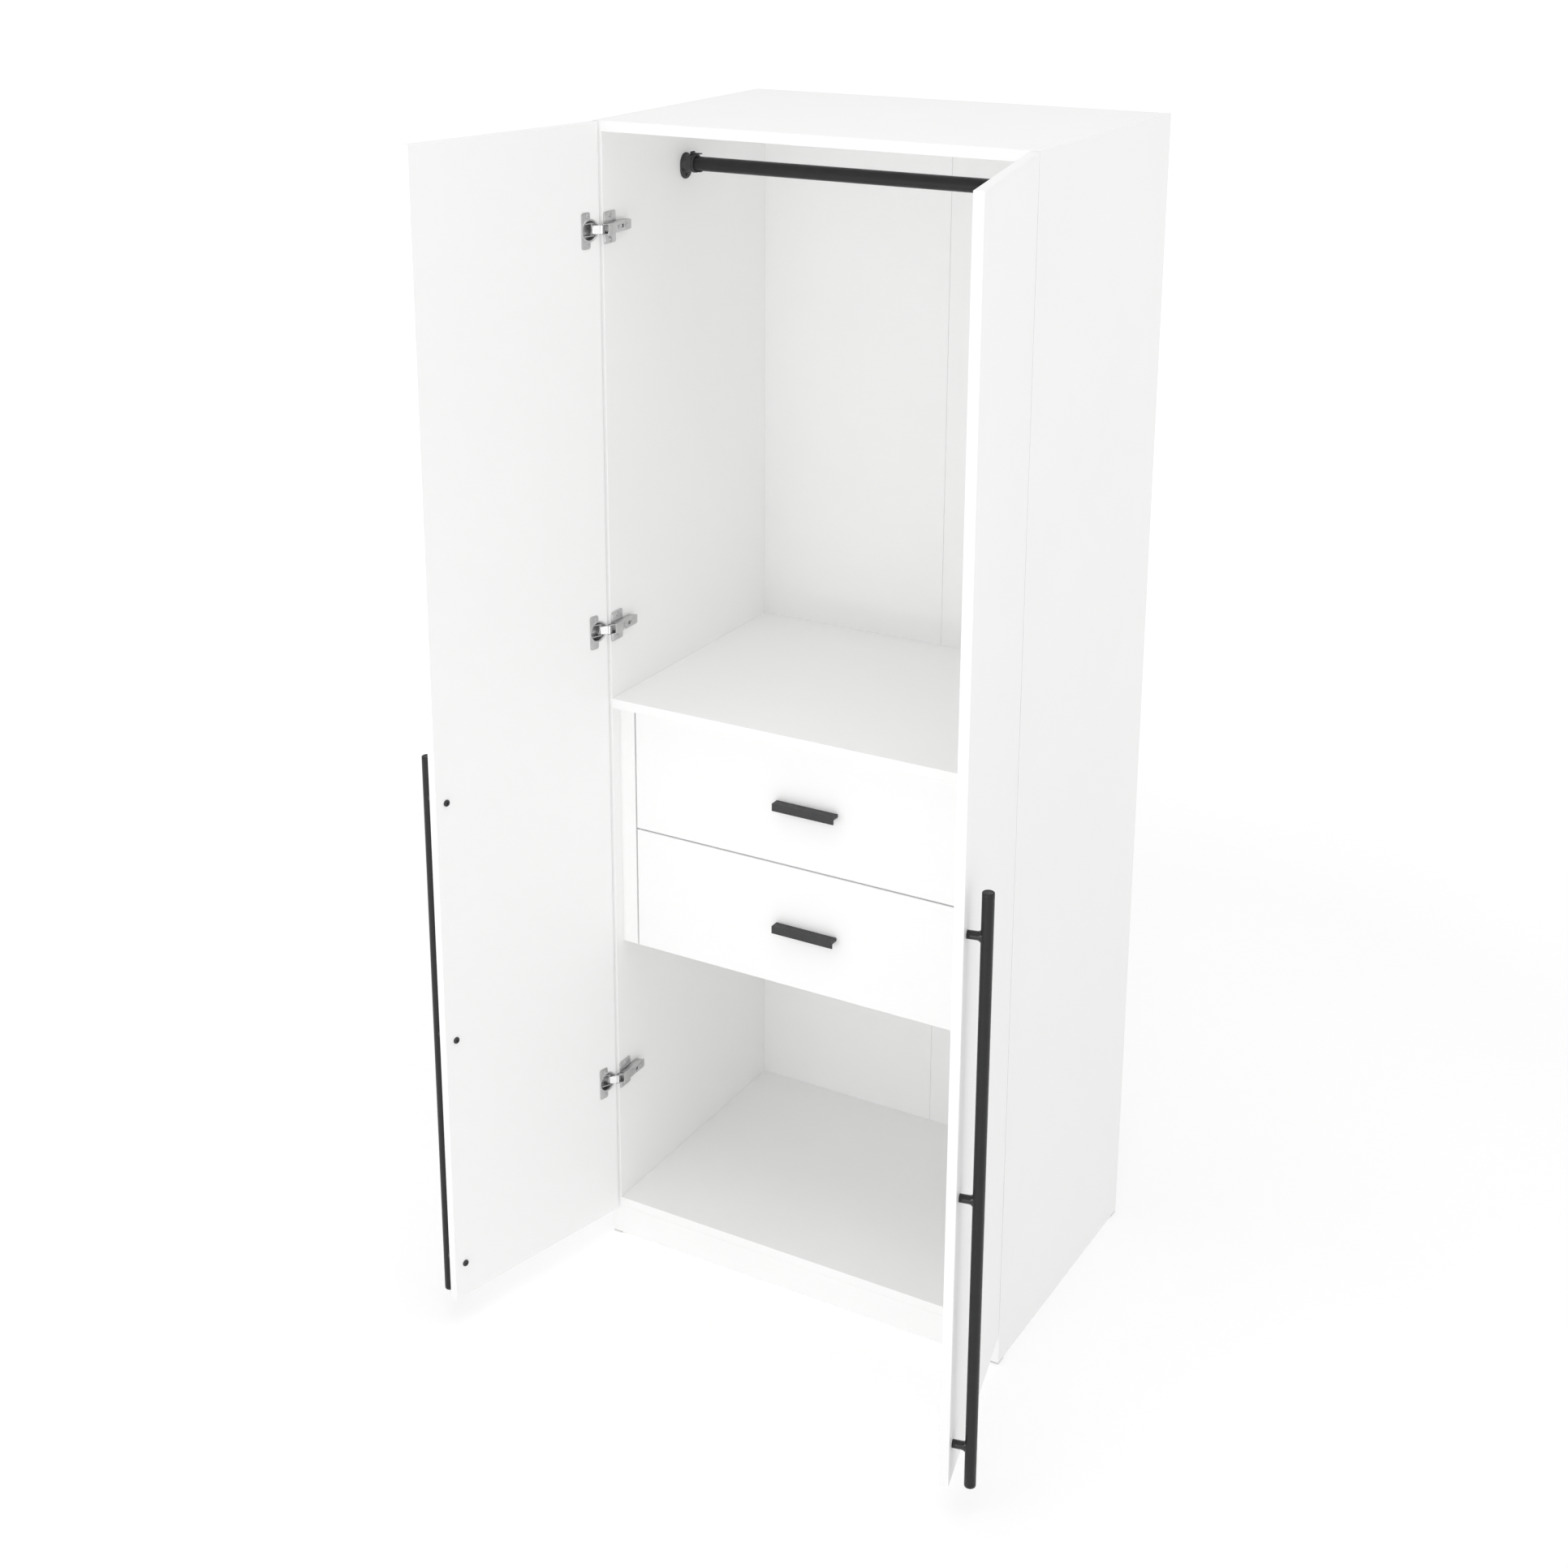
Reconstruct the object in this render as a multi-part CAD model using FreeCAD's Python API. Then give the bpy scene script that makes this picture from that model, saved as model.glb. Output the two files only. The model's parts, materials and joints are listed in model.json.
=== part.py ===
import FreeCAD, Part
import os

# Two-door wardrobe with a hanging rail, two inner drawers and an open space below them.
# Millimetres. +Z is up, +X is to the right seen from the front, the front faces -Y.
# Origin: middle of the rear foot line, where the floor meets the wall behind the wardrobe.
# The doors stand open by REST_OPEN, the drawers are shut.

V = FreeCAD.Vector
UP = V(0, 0, 1)
RIGHT = V(1, 0, 0)
BACKWARD = V(0, 1, 0)
FORWARD = V(0, -1, 0)
PAST = 1.0               # how far a cutting tool runs past the surface
HOLE_FIT = 0.2           # radial room of a screw or a cup in its hole
CROSS_DEEP = 0.7         # depth of a screw's cross recess

# ---- carcass ----
WIDTH = 800.0
HEIGHT = 2105.0
DEPTH = 548.0            # side panel and back panel together, without the doors
BOARD = 18.0             # carcass board
BACK = 3.0               # hardboard back
EDGE = 0.5               # eased edge of every board
GLIDE = 3.0              # height of the nail-on glides
GLIDE_W = 17.0           # glide pads across and from front to back
GLIDE_LEN = 22.0
BACK_FIT = 1.0           # back panels short of the carcass edges
BACK_UP = 2.0            # back panels above the lower rails' top
KICK = 57.0              # height of the kick board
SHELF_TOP = 1088.0       # top of the shelf over the drawers

HALF = WIDTH / 2
INNER = HALF - BOARD     # half the clear width
FRONT = -DEPTH
REAR = -BACK             # rear edge of the boards, where the back is nailed on
FLOOR_TOP = GLIDE + KICK + BOARD
SHELF_LOW = SHELF_TOP - BOARD
CEILING = HEIGHT - BOARD

# ---- doors ----
DOOR_W = 398.0
DOOR_T = 16.0
DOOR_LOW = 57.0
DOOR_TOP = 2104.0
DOOR_GAP = 2.0           # bumper gap between door and carcass
REST_OPEN = 103.0        # degrees open at rest
DOOR_IN = FRONT - DOOR_GAP
DOOR_OUT = DOOR_IN - DOOR_T
DOOR_EDGE = -HALF + 1.0  # hinge edge of the left door, shut
AXIS_IN = 5.5            # hinge axis in from the door's edge
AXIS_DEEP = 8.0          # hinge axis out from the door's inner face
AXIS_X = DOOR_EDGE + AXIS_IN
AXIS_Y = DOOR_IN - AXIS_DEEP

# ---- bar handle ----
BAR_R = 9.5
BAR_LEN = 1030.0
BAR_MID = 565.0          # height of the middle post
BAR_OFF = 30.0           # bar centre out from the door's face
BAR_INSET = 23.0         # bar centre in from the door's free edge
POST_R = 7.0
POST_STEP = 443.0
BOLT_R = 2.5
BOLT_HEAD_R = 6.0
BOLT_HEAD_H = 3.5
BOLT_BITE = 6.0          # bolt's thread in the bar
BAR_EDGE = 1.2
RING_IN = 6.0            # ring line in from each end of the bar
RING_W = 0.8
RING_DEEP = 0.4
FLARE = 3.0              # posts widen by this much at the bar
FLARE_LEN = 5.0
FLARE_IN = 3.5           # flare starts this far behind the bar

# ---- hinges ----
HINGE_Z = (336.0, 1221.0, 1926.0)
CUP_R = 17.5
CUP_DEEP = 12.5
CUP_IN = 22.5            # cup centre in from the door's edge
CUP_WALL = 1.2
CUP_LIP = 1.8            # cup's ring beyond its socket
WING_H = 62.0
WING_W = 20.0
WING_IN = 28.0           # wing plate centre in from the door's edge
WING_SCREW = 24.0        # wing screws above and below the middle
ARM_W = 18.0             # hinge arm across
ARM_SKIN = 1.4
ARM_TOP = 13.0           # arm's outer face out from the side panel
ARM_REAR = FRONT + 67.0
ARM_NOSE = FRONT - 8.5
PIN_X = -378.0           # link pin of the left hinges
PIN_Y = FRONT - 10.0
PIN_R = 1.5
PIN_SEAT = 0.02          # radial room of the pin in the arm's ears
EAR_R = 3.0
BARREL_R = 2.8           # link's eye round the pin
PIN_FIT = 0.05           # radial clearance of the link on its pin
LINK_LEN = 16.0
LINK_T = 2.6
LINK_TIP_R = 1.5
LINK_SIDE_FIT = 0.3
LINK_ANGLE = -132.5      # link direction at rest, left door, degrees from +X
PLATE_Y0 = FRONT + 2.0
PLATE_Y1 = FRONT + 36.0
PLATE_H = 54.0
PLATE_SCREW = 20.5       # plate screws above and below the middle
PLATE_T = 2.0
SADDLE_T = 5.0
SADDLE_H = 13.6
SADDLE_IN = 4.0          # saddle short of the arm's rear end
RIB_T = 1.0              # ribs across the plate, above and below the saddle
RIB_W = 4.0
RIB_Z = 14.0
WING_CORNER = 4.5
PLATE_CORNER = 4.0
ARM_CORNER = 3.0
ARM_LIFT = 2.5           # arm's side walls above the side panel
ARM_SLOT = 6.0           # square slot between the adjusting screws
ARM_SLOT_IN = 26.5       # slot's middle from the arm's rear end
ARM_SCREWS_IN = (15.0, 38.0)
ARM_HOLE_R = 2.3
# Screws: head radius, head height, shaft radius.
PLATE_SCREW_SIZE = (3.6, 1.5, 2.0)
ADJUST_SCREW_SIZE = (3.4, 1.3, 2.1)
CUP_SCREW_SIZE = (3.4, 1.2, 1.9)
CUP_SCREW_LEN = 10.0     # length in the door

# ---- hanging rail ----
RAIL_R = 12.5
RAIL_WALL = 1.5
RAIL_FIT = 1.0           # rail short of each flange plate
RAIL_Y = -285.0
RAIL_Z = 2004.0
FLANGE_T = 3.0
FLANGE_EDGE = 0.9
FLANGE_W = 36.0
FLANGE_DROP = 10.0       # the flange is longer than wide, below the rail
COLLAR_R = 15.2
COLLAR_LEN = 21.0
FLANGE_SCREW = 21.5      # lower screw below the rail's middle
LUG_IN = 9.0             # lug back from the socket's rim
LUG_R = 3.2
LUG_UP = 2.6             # eye's centre above the socket
LUG_HALF = 4.0           # half the lug's and the tongues' width
TONGUE_OUT = 9.0         # tongues beyond the socket
TONGUE_T = 2.0
TONGUE_FIT = 0.4
RIM_W = 2.5              # ring at the socket's mouth
RIM_UP = 1.0
SCREW_HOLE_R = 2.2
FLANGE_SCREW_SIZE = (3.3, 1.8, 2.0)
LOCK_SCREW_SIZE = (2.0, 1.4, 1.5)

# ---- drawers ----
SETBACK = 25.0           # drawer fronts behind the carcass front
FILLER_W = 30.0
FRONT_GAP = 3.0
DRAWER_LOW = 604.5
DRAWER_H = 229.5
FRONT_T = 16.0
SIDE_T = 15.0
SIDE_H = 160.0
SIDE_LEN = 450.0
SIDE_UP = 25.0           # side's lower edge above the front's lower edge
BOTTOM_UP = 37.0
BOTTOM_T = 3.0
GROOVE = 5.0
GROOVE_FIT = 0.1
SLIDE_T = 12.7           # space for one slide
SLIDE_UP = 105.0         # slide centre above the front's lower edge
SLIDE_SKIN = 1.2
# Slide members: near and far side from the cheek, half height.
CABINET_MEMBER = (0.0, 9.5, 22.5)
MIDDLE_MEMBER = (2.2, 10.5, 18.0)
DRAWER_MEMBER = (5.0, SLIDE_T, 13.0)
SPACER_W = 60.0
BOTTOM_FIT = 0.5         # drawer bottom short of its grooves
CHEEK_REAR = -30.0
FACE = FRONT + SETBACK
FACE_BACK = FACE + FRONT_T
STILE_IN = INNER - FILLER_W
FRONT_HALF = STILE_IN - FRONT_GAP
BOX_HALF = STILE_IN - SLIDE_T

# ---- drawer pull ----
PULL_LEN = 120.0
PULL_DEEP = 18.0
PULL_T = 6.0
PULL_LIP = 14.0
PULL_LIP_T = 3.0
PULL_SCREW = 48.0
PULL_SCREW_SIZE = (4.0, 2.0, 2.0)
PULL_SCREW_DEEP = 8.0    # thread in the pull
PULL_EDGE = 0.9


def box(x0, x1, y0, y1, z0, z1):
    """A block from its low to its high sides."""
    return Part.makeBox(x1 - x0, y1 - y0, z1 - z0, V(x0, y0, z0))


def board(x0, x1, y0, y1, z0, z1):
    """A board with every edge eased a little."""
    blank = box(x0, x1, y0, y1, z0, z1)
    return blank.makeChamfer(EDGE, blank.Edges)


def rod(x, y, z, radius, length, axis):
    """A cylinder that starts at a point and runs along an axis."""
    return Part.makeCylinder(radius, length, V(x, y, z), axis)


def slab(outline, height, up=UP):
    """A flat outline pulled up into a plate."""
    return Part.Face(Part.makePolygon(outline + outline[:1])).extrude(up * height)


def mirror(shape):
    """The same piece on the right side."""
    return shape.mirror(V(0, 0, 0), RIGHT)


def on_side(shape, side):
    """Pieces are drawn for the left side and mirrored for the right."""
    return mirror(shape) if side == "right" else shape


def swing(shape, side):
    """Turn a piece drawn on the shut left door to the rest pose, on the given side."""
    shape = shape.copy()
    shape.rotate(V(AXIS_X, AXIS_Y, 0), UP, -REST_OPEN)
    return on_side(shape, side)


def cross_slot(spot, radius, axis):
    """The cross recess of a screw head, sunk from a point down the opposite of axis."""
    long, wide, deep = 1.3 * radius, 0.22 * radius, CROSS_DEEP
    arms = [(long, wide), (wide, long)]
    cuts = [Part.makeBox(a, b, 2 * deep, V(-a / 2, -b / 2, -deep)) for a, b in arms]
    cut = cuts[0].fuse(cuts[1])
    cut.Placement = FreeCAD.Placement(spot, FreeCAD.Rotation(UP, axis))
    return cut


def screw(spot, size, length, axis):
    """A pan-head screw: spot is under its head, axis points out of the head."""
    head_r, head_h, shaft_r = size
    head = rod(*spot, head_r, head_h, axis)
    rim = [e for e in head.Edges if e.Closed and (e.CenterOfMass - spot).dot(axis) > head_h / 2]
    head = head.makeFillet(0.55 * head_h, rim)
    shaft = rod(*spot, shaft_r, length, axis * -1)
    return head.fuse(shaft).removeSplitter().cut(cross_slot(spot + axis * head_h, head_r, axis))


# ---- carcass boards ----
def side_panel(side):
    return on_side(board(-HALF, -INNER, FRONT, REAR, GLIDE, HEIGHT), side)


def level_board(z0, z1):
    """A board that lies between the side panels."""
    return board(-INNER, INNER, FRONT, REAR, z0, z1)


def kick_rail(y0, y1):
    return board(-INNER, INNER, y0, y1, GLIDE, GLIDE + KICK)


def back_panel(side):
    low = GLIDE + KICK + BACK_UP
    return on_side(box(-HALF + BACK_FIT, -BACK_FIT / 2, REAR, 0, low, HEIGHT - BACK_FIT), side)


def glides():
    """Flat nail-on glides under the corners of the side panels."""
    out = []
    for x in (-HALF + BOARD / 2, HALF - BOARD / 2):
        for y in (FRONT + EDGE, REAR - EDGE - GLIDE_LEN):
            pad = box(x - GLIDE_W / 2, x + GLIDE_W / 2, y, y + GLIDE_LEN, 0, GLIDE)
            rim = [e for e in pad.Edges if e.CenterOfMass.z < GLIDE]
            out.append(pad.makeChamfer(EDGE, rim))
    return out


def filler_stile(side):
    """The strip in front of the drawer cheek that covers the space for the door hinges."""
    y1 = FACE + BOARD
    return on_side(board(-INNER, -STILE_IN, FACE, y1, DRAWER_LOW, SHELF_LOW), side)


def drawer_cheek(side):
    """The board that carries the drawer slides."""
    x0 = -STILE_IN - BOARD
    return on_side(board(x0, -STILE_IN, FACE + BOARD, CHEEK_REAR, DRAWER_LOW, SHELF_LOW), side)


def cheek_spacers():
    x1 = -STILE_IN - BOARD
    strip = board(-INNER, x1, CHEEK_REAR - SPACER_W, CHEEK_REAR, DRAWER_LOW, SHELF_LOW)
    return [strip, mirror(strip)]


# ---- hanging rail ----
def hanging_rail():
    half = INNER - FLANGE_T - RAIL_FIT
    tube = rod(-half, RAIL_Y, RAIL_Z, RAIL_R, 2 * half, RIGHT)
    return tube.cut(rod(-half, RAIL_Y, RAIL_Z, RAIL_R - RAIL_WALL, 2 * half, RIGHT))


def flange_plate():
    """The long-round plate that is screwed to the side panel."""
    r = FLANGE_W / 2
    low = RAIL_Z - FLANGE_DROP
    plate = box(-INNER, -INNER + FLANGE_T, RAIL_Y - r, RAIL_Y + r, low, RAIL_Z)
    for z in (low, RAIL_Z):
        plate = plate.fuse(rod(-INNER, RAIL_Y, z, r, FLANGE_T, RIGHT))
    plate = plate.removeSplitter()
    front = [e for e in plate.Edges if abs(e.CenterOfMass.x + INNER - FLANGE_T) < 0.01]
    return plate.makeChamfer(FLANGE_EDGE, front)


def lug_place():
    """Centre of the lug's eye, seen from the front."""
    return -INNER + FLANGE_T + COLLAR_LEN - LUG_IN, RAIL_Z + COLLAR_R + LUG_UP


def rail_flange(side):
    """Flange, socket collar, the two tongues that grip the rail and the lug for the lock screw."""
    start = -INNER + FLANGE_T
    end = start + COLLAR_LEN
    body = flange_plate().fuse(rod(start, RAIL_Y, RAIL_Z, COLLAR_R, COLLAR_LEN, RIGHT))
    body = body.fuse(rod(end - RIM_W, RAIL_Y, RAIL_Z, COLLAR_R + RIM_UP, RIM_W, RIGHT))
    x, z = lug_place()
    lug = rod(x, RAIL_Y - LUG_HALF, z, LUG_R, 2 * LUG_HALF, BACKWARD)
    foot = box(x - LUG_R, x + LUG_R, RAIL_Y - LUG_HALF, RAIL_Y + LUG_HALF, z - LUG_UP - 2.0, z)
    body = body.fuse([lug, foot])
    body = body.cut(rod(x, RAIL_Y - LUG_HALF - PAST, z, LUG_R / 2, 2 * (LUG_HALF + PAST), BACKWARD))
    for z in (RAIL_Z + RAIL_R + TONGUE_FIT, RAIL_Z - RAIL_R - TONGUE_FIT - TONGUE_T):
        tongue = box(end - EDGE, end + TONGUE_OUT, RAIL_Y - LUG_HALF, RAIL_Y + LUG_HALF, z, z + TONGUE_T)
        body = body.fuse(tongue)
    body = body.cut(rod(start, RAIL_Y, RAIL_Z, RAIL_R + HOLE_FIT, COLLAR_LEN + TONGUE_OUT + PAST, RIGHT))
    for z in (RAIL_Z - FLANGE_SCREW, RAIL_Z):
        body = body.cut(rod(-INNER - PAST, RAIL_Y, z, SCREW_HOLE_R, FLANGE_T + 2 * PAST, RIGHT))
    return on_side(body.removeSplitter(), side)


def rail_screws():
    """Two screws in each flange, one of them inside the socket, and a lock screw across each lug."""
    out = []
    for z in (RAIL_Z - FLANGE_SCREW, RAIL_Z):
        out.append(screw(V(-INNER + FLANGE_T, RAIL_Y, z), FLANGE_SCREW_SIZE, FLANGE_T, RIGHT))
    x, z = lug_place()
    out.append(screw(V(x, RAIL_Y - LUG_HALF, z), LOCK_SCREW_SIZE, 2 * LUG_HALF, FORWARD))
    return out + [mirror(s) for s in out]


# ---- hinges, drawn for the left side ----
def rounded_plate(y0, y1, z0, z1, x0, thick, radius):
    """A plate on the side panel with rounded corners."""
    plate = box(x0, x0 + thick, y0, y1, z0, z1)
    corners = [e for e in plate.Edges if abs(e.tangentAt(0).x) > 0.9]
    return plate.makeFillet(radius, corners)


def mounting_plate(z):
    """The cross-shaped plate on the side panel, with the saddle that carries the arm."""
    x0 = -INNER
    plate = rounded_plate(PLATE_Y0, PLATE_Y1, z - PLATE_H / 2, z + PLATE_H / 2, x0, PLATE_T, PLATE_CORNER)
    x1 = x0 + PLATE_T
    neck = [box(x1, x1 + RIB_T, PLATE_Y0, PLATE_Y1, z + s * RIB_Z - RIB_W / 2, z + s * RIB_Z + RIB_W / 2)
            for s in (-1, 1)]
    saddle = box(x0, x1 + SADDLE_T, PLATE_Y0 + 2, ARM_REAR - SADDLE_IN, z - SADDLE_H / 2, z + SADDLE_H / 2)
    plate = plate.fuse(neck + [saddle]).removeSplitter()
    for s in (-1, 1):
        hole = rod(x0 - PAST, (PLATE_Y0 + PLATE_Y1) / 2, z + s * PLATE_SCREW, SCREW_HOLE_R, 5.0, RIGHT)
        plate = plate.cut(hole)
    return plate


def arm_screw_places():
    """Where the two adjusting screws go through the arm."""
    return [ARM_REAR - inset for inset in ARM_SCREWS_IN]


def hinge_arm(z):
    """The channel over the saddle, with two ears at its nose that hold the link pin."""
    top = -INNER + ARM_TOP
    half = ARM_W / 2
    skin = box(top - ARM_SKIN, top, ARM_NOSE, ARM_REAR, z - half, z + half)
    rear = [e for e in skin.Edges if abs(e.tangentAt(0).x) > 0.9 and e.CenterOfMass.y > -500]
    body = skin.makeFillet(ARM_CORNER, rear)
    for s in (-1, 1):
        z0 = z + s * half - (ARM_SKIN if s > 0 else 0)
        wall = [V(-INNER + ARM_LIFT, ARM_REAR - 10, z0), V(top, ARM_REAR - SADDLE_IN, z0),
                V(top, ARM_NOSE, z0), V(PIN_X, PIN_Y - EAR_R, z0), V(PIN_X - EAR_R, PIN_Y, z0),
                V(-INNER + ARM_LIFT, FRONT + 1, z0)]
        ear = rod(PIN_X, PIN_Y, z0, EAR_R, ARM_SKIN, UP)
        body = body.fuse([slab(wall, ARM_SKIN), ear])
    body = body.removeSplitter().cut(rod(PIN_X, PIN_Y, z - ARM_W, PIN_R + PIN_SEAT, 2 * ARM_W, UP))
    y, reach = ARM_REAR - ARM_SLOT_IN, ARM_SLOT / 2
    body = body.cut(box(top - 3, top + PAST, y - reach, y + reach, z - reach, z + reach))
    for y in arm_screw_places():
        body = body.cut(rod(top - 3, y, z, ARM_HOLE_R, 5, RIGHT))
    return body


def hinge_pin(z):
    return rod(PIN_X, PIN_Y, z - ARM_W / 2, PIN_R, ARM_W, UP)


def hinge_link(z):
    """The link that swings on the arm's pin and reaches into the cup."""
    half = ARM_W / 2 - ARM_SKIN - LINK_SIDE_FIT
    barrel = rod(PIN_X, PIN_Y, z - half, BARREL_R, 2 * half, UP)
    reach = PIN_X + LINK_LEN - LINK_TIP_R
    bar = box(PIN_X, reach, PIN_Y - LINK_T / 2, PIN_Y + LINK_T / 2, z - half, z + half)
    tip = rod(reach, PIN_Y, z - half, LINK_TIP_R, 2 * half, UP)
    link = barrel.fuse([bar, tip]).removeSplitter()
    link = link.cut(rod(PIN_X, PIN_Y, z - ARM_W, PIN_R + PIN_FIT, 2 * ARM_W, UP))
    link.rotate(V(PIN_X, PIN_Y, z), UP, LINK_ANGLE)
    return link


def hinge_cup(z):
    """The cup sunk in the door with its flange and screw wings, drawn on the shut door."""
    x = DOOR_EDGE + CUP_IN
    wing_x = DOOR_EDGE + WING_IN
    out = BACKWARD
    wing = box(wing_x - WING_W / 2, wing_x + WING_W / 2, DOOR_IN, DOOR_IN + CUP_WALL,
               z - WING_H / 2, z + WING_H / 2)
    corners = [e for e in wing.Edges if abs(e.tangentAt(0).y) > 0.9]
    wing = wing.makeFillet(WING_CORNER, corners)
    body = wing.fuse(rod(x, DOOR_IN, z, CUP_R + CUP_LIP, CUP_WALL, out))
    body = body.fuse(rod(x, DOOR_IN - CUP_DEEP, z, CUP_R, CUP_DEEP, out)).removeSplitter()
    well = rod(x, DOOR_IN - CUP_DEEP + 1.0, z, CUP_R - CUP_WALL, CUP_DEEP + 5, out)
    body = body.cut(well)
    for s in (-1, 1):
        body = body.cut(rod(wing_x, DOOR_IN - PAST, z + s * WING_SCREW, SCREW_HOLE_R, 4, out))
    return body


def cup_screws(z):
    x = DOOR_EDGE + WING_IN
    y = DOOR_IN + CUP_WALL
    return [screw(V(x, y, z + s * WING_SCREW), CUP_SCREW_SIZE, CUP_WALL + CUP_SCREW_LEN, BACKWARD)
            for s in (-1, 1)]


def plate_screws():
    """Wood screws through the mounting plates and adjusting screws through the arms."""
    out = []
    y = (PLATE_Y0 + PLATE_Y1) / 2
    top = -INNER + ARM_TOP
    drop = ARM_TOP - PLATE_T - SADDLE_T
    for z in HINGE_Z:
        for s in (-1, 1):
            spot = V(-INNER + PLATE_T, y, z + s * PLATE_SCREW)
            out.append(screw(spot, PLATE_SCREW_SIZE, PLATE_T, RIGHT))
        for y_arm in arm_screw_places():
            out.append(screw(V(top, y_arm, z), ADJUST_SCREW_SIZE, drop, RIGHT))
    return out + [mirror(s) for s in out]


# ---- doors, drawn shut on the left ----
def post_heights():
    return (BAR_MID - POST_STEP, BAR_MID, BAR_MID + POST_STEP)


def bar_place():
    """Plan position of the handle bar's centre line on the shut left door."""
    return DOOR_EDGE + DOOR_W - BAR_INSET, DOOR_OUT - BAR_OFF


def door(side):
    x, _ = bar_place()
    panel = board(DOOR_EDGE, DOOR_EDGE + DOOR_W, DOOR_OUT, DOOR_IN, DOOR_LOW, DOOR_TOP)
    for z in HINGE_Z:
        cup = rod(DOOR_EDGE + CUP_IN, DOOR_IN - CUP_DEEP - HOLE_FIT, z, CUP_R + HOLE_FIT, DOOR_T, BACKWARD)
        panel = panel.cut(cup)
        for s in (-1, 1):
            spot = V(DOOR_EDGE + WING_IN, DOOR_IN - CUP_SCREW_LEN - PAST, z + s * WING_SCREW)
            pilot = rod(*spot, CUP_SCREW_SIZE[2] + 0.1, DOOR_T, BACKWARD)
            panel = panel.cut(pilot)
    for z in post_heights():
        panel = panel.cut(rod(x, DOOR_OUT - PAST, z, BOLT_R + HOLE_FIT, DOOR_T + 2 * PAST, BACKWARD))
    return swing(panel, side)


def handle_bar(side):
    """A round bar with turned ends and three tapped holes for the bolts."""
    x, y = bar_place()
    low = BAR_MID - BAR_LEN / 2
    bar = rod(x, y, low, BAR_R, BAR_LEN, UP)
    rims = [e for e in bar.Edges if e.Closed]
    bar = bar.makeFillet(BAR_EDGE, rims)
    for z in (low + RING_IN, low + BAR_LEN - RING_IN):
        ring = rod(x, y, z - RING_W / 2, BAR_R + PAST, RING_W, UP)
        bar = bar.cut(ring.cut(rod(x, y, z - RING_W, BAR_R - RING_DEEP, 2 * RING_W, UP)))
    for z in post_heights():
        bar = bar.cut(rod(x, y + BAR_R + PAST, z, BOLT_R + HOLE_FIT / 2, BOLT_BITE + PAST + 1.5, FORWARD))
    return swing(bar, side)


def handle_posts(side):
    """Three sleeves that stand between the door and the bar, flared towards the bar."""
    x, y = bar_place()
    room = BAR_OFF
    out = []
    for z in post_heights():
        post = rod(x, DOOR_OUT, z, POST_R, BAR_OFF, FORWARD)
        flare = Part.makeCone(POST_R, POST_R + FLARE, FLARE_LEN, V(x, y + BAR_R + FLARE_IN, z), FORWARD)
        post = post.fuse(flare).removeSplitter()
        post = post.cut(rod(x, y, z - room, BAR_R + HOLE_FIT / 2, 2 * room, UP))
        post = post.cut(box(x - room, x + room, y - room, y, z - room, z + room))
        post = post.cut(rod(x, DOOR_OUT + PAST, z, BOLT_R + HOLE_FIT, BAR_OFF + 2 * PAST, FORWARD))
        out.append(swing(post, side))
    return out


def handle_bolts(side):
    x, y = bar_place()
    length = DOOR_T + BAR_OFF - BAR_R + BOLT_BITE
    size = (BOLT_HEAD_R, BOLT_HEAD_H, BOLT_R)
    return [swing(screw(V(x, DOOR_IN, z), size, length, BACKWARD), side) for z in post_heights()]


# ---- drawers ----
def drawer_front(z0):
    face = board(-FRONT_HALF, FRONT_HALF, FACE, FACE_BACK, z0, z0 + DRAWER_H)
    low = z0 + BOTTOM_UP - GROOVE_FIT
    high = z0 + BOTTOM_UP + BOTTOM_T + GROOVE_FIT
    face = face.cut(box(-BOX_HALF + SIDE_T - GROOVE, BOX_HALF - SIDE_T + GROOVE,
                        FACE_BACK - GROOVE, FACE_BACK + PAST, low, high))
    for x in (-PULL_SCREW, PULL_SCREW):
        face = face.cut(rod(x, FACE - PAST, z0 + DRAWER_H / 2, SCREW_HOLE_R, FRONT_T + 2 * PAST, BACKWARD))
    return face


def drawer_side(z0, side):
    x0, x1 = -BOX_HALF, -BOX_HALF + SIDE_T
    wall = board(x0, x1, FACE_BACK, FACE_BACK + SIDE_LEN, z0 + SIDE_UP, z0 + SIDE_UP + SIDE_H)
    low = z0 + BOTTOM_UP - GROOVE_FIT
    high = z0 + BOTTOM_UP + BOTTOM_T + GROOVE_FIT
    wall = wall.cut(box(x1 - GROOVE, x1 + PAST, FACE_BACK - PAST, FACE_BACK + SIDE_LEN + PAST, low, high))
    return on_side(wall, side)


def drawer_back(z0):
    x = BOX_HALF - SIDE_T
    y1 = FACE_BACK + SIDE_LEN
    return board(-x, x, y1 - SIDE_T, y1, z0 + BOTTOM_UP + BOTTOM_T + GROOVE_FIT, z0 + SIDE_UP + SIDE_H)


def drawer_bottom(z0):
    x = BOX_HALF - SIDE_T + GROOVE - BOTTOM_FIT
    low = z0 + BOTTOM_UP
    return box(-x, x, FACE_BACK - GROOVE + BOTTOM_FIT, FACE_BACK + SIDE_LEN, low, low + BOTTOM_T)


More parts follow.
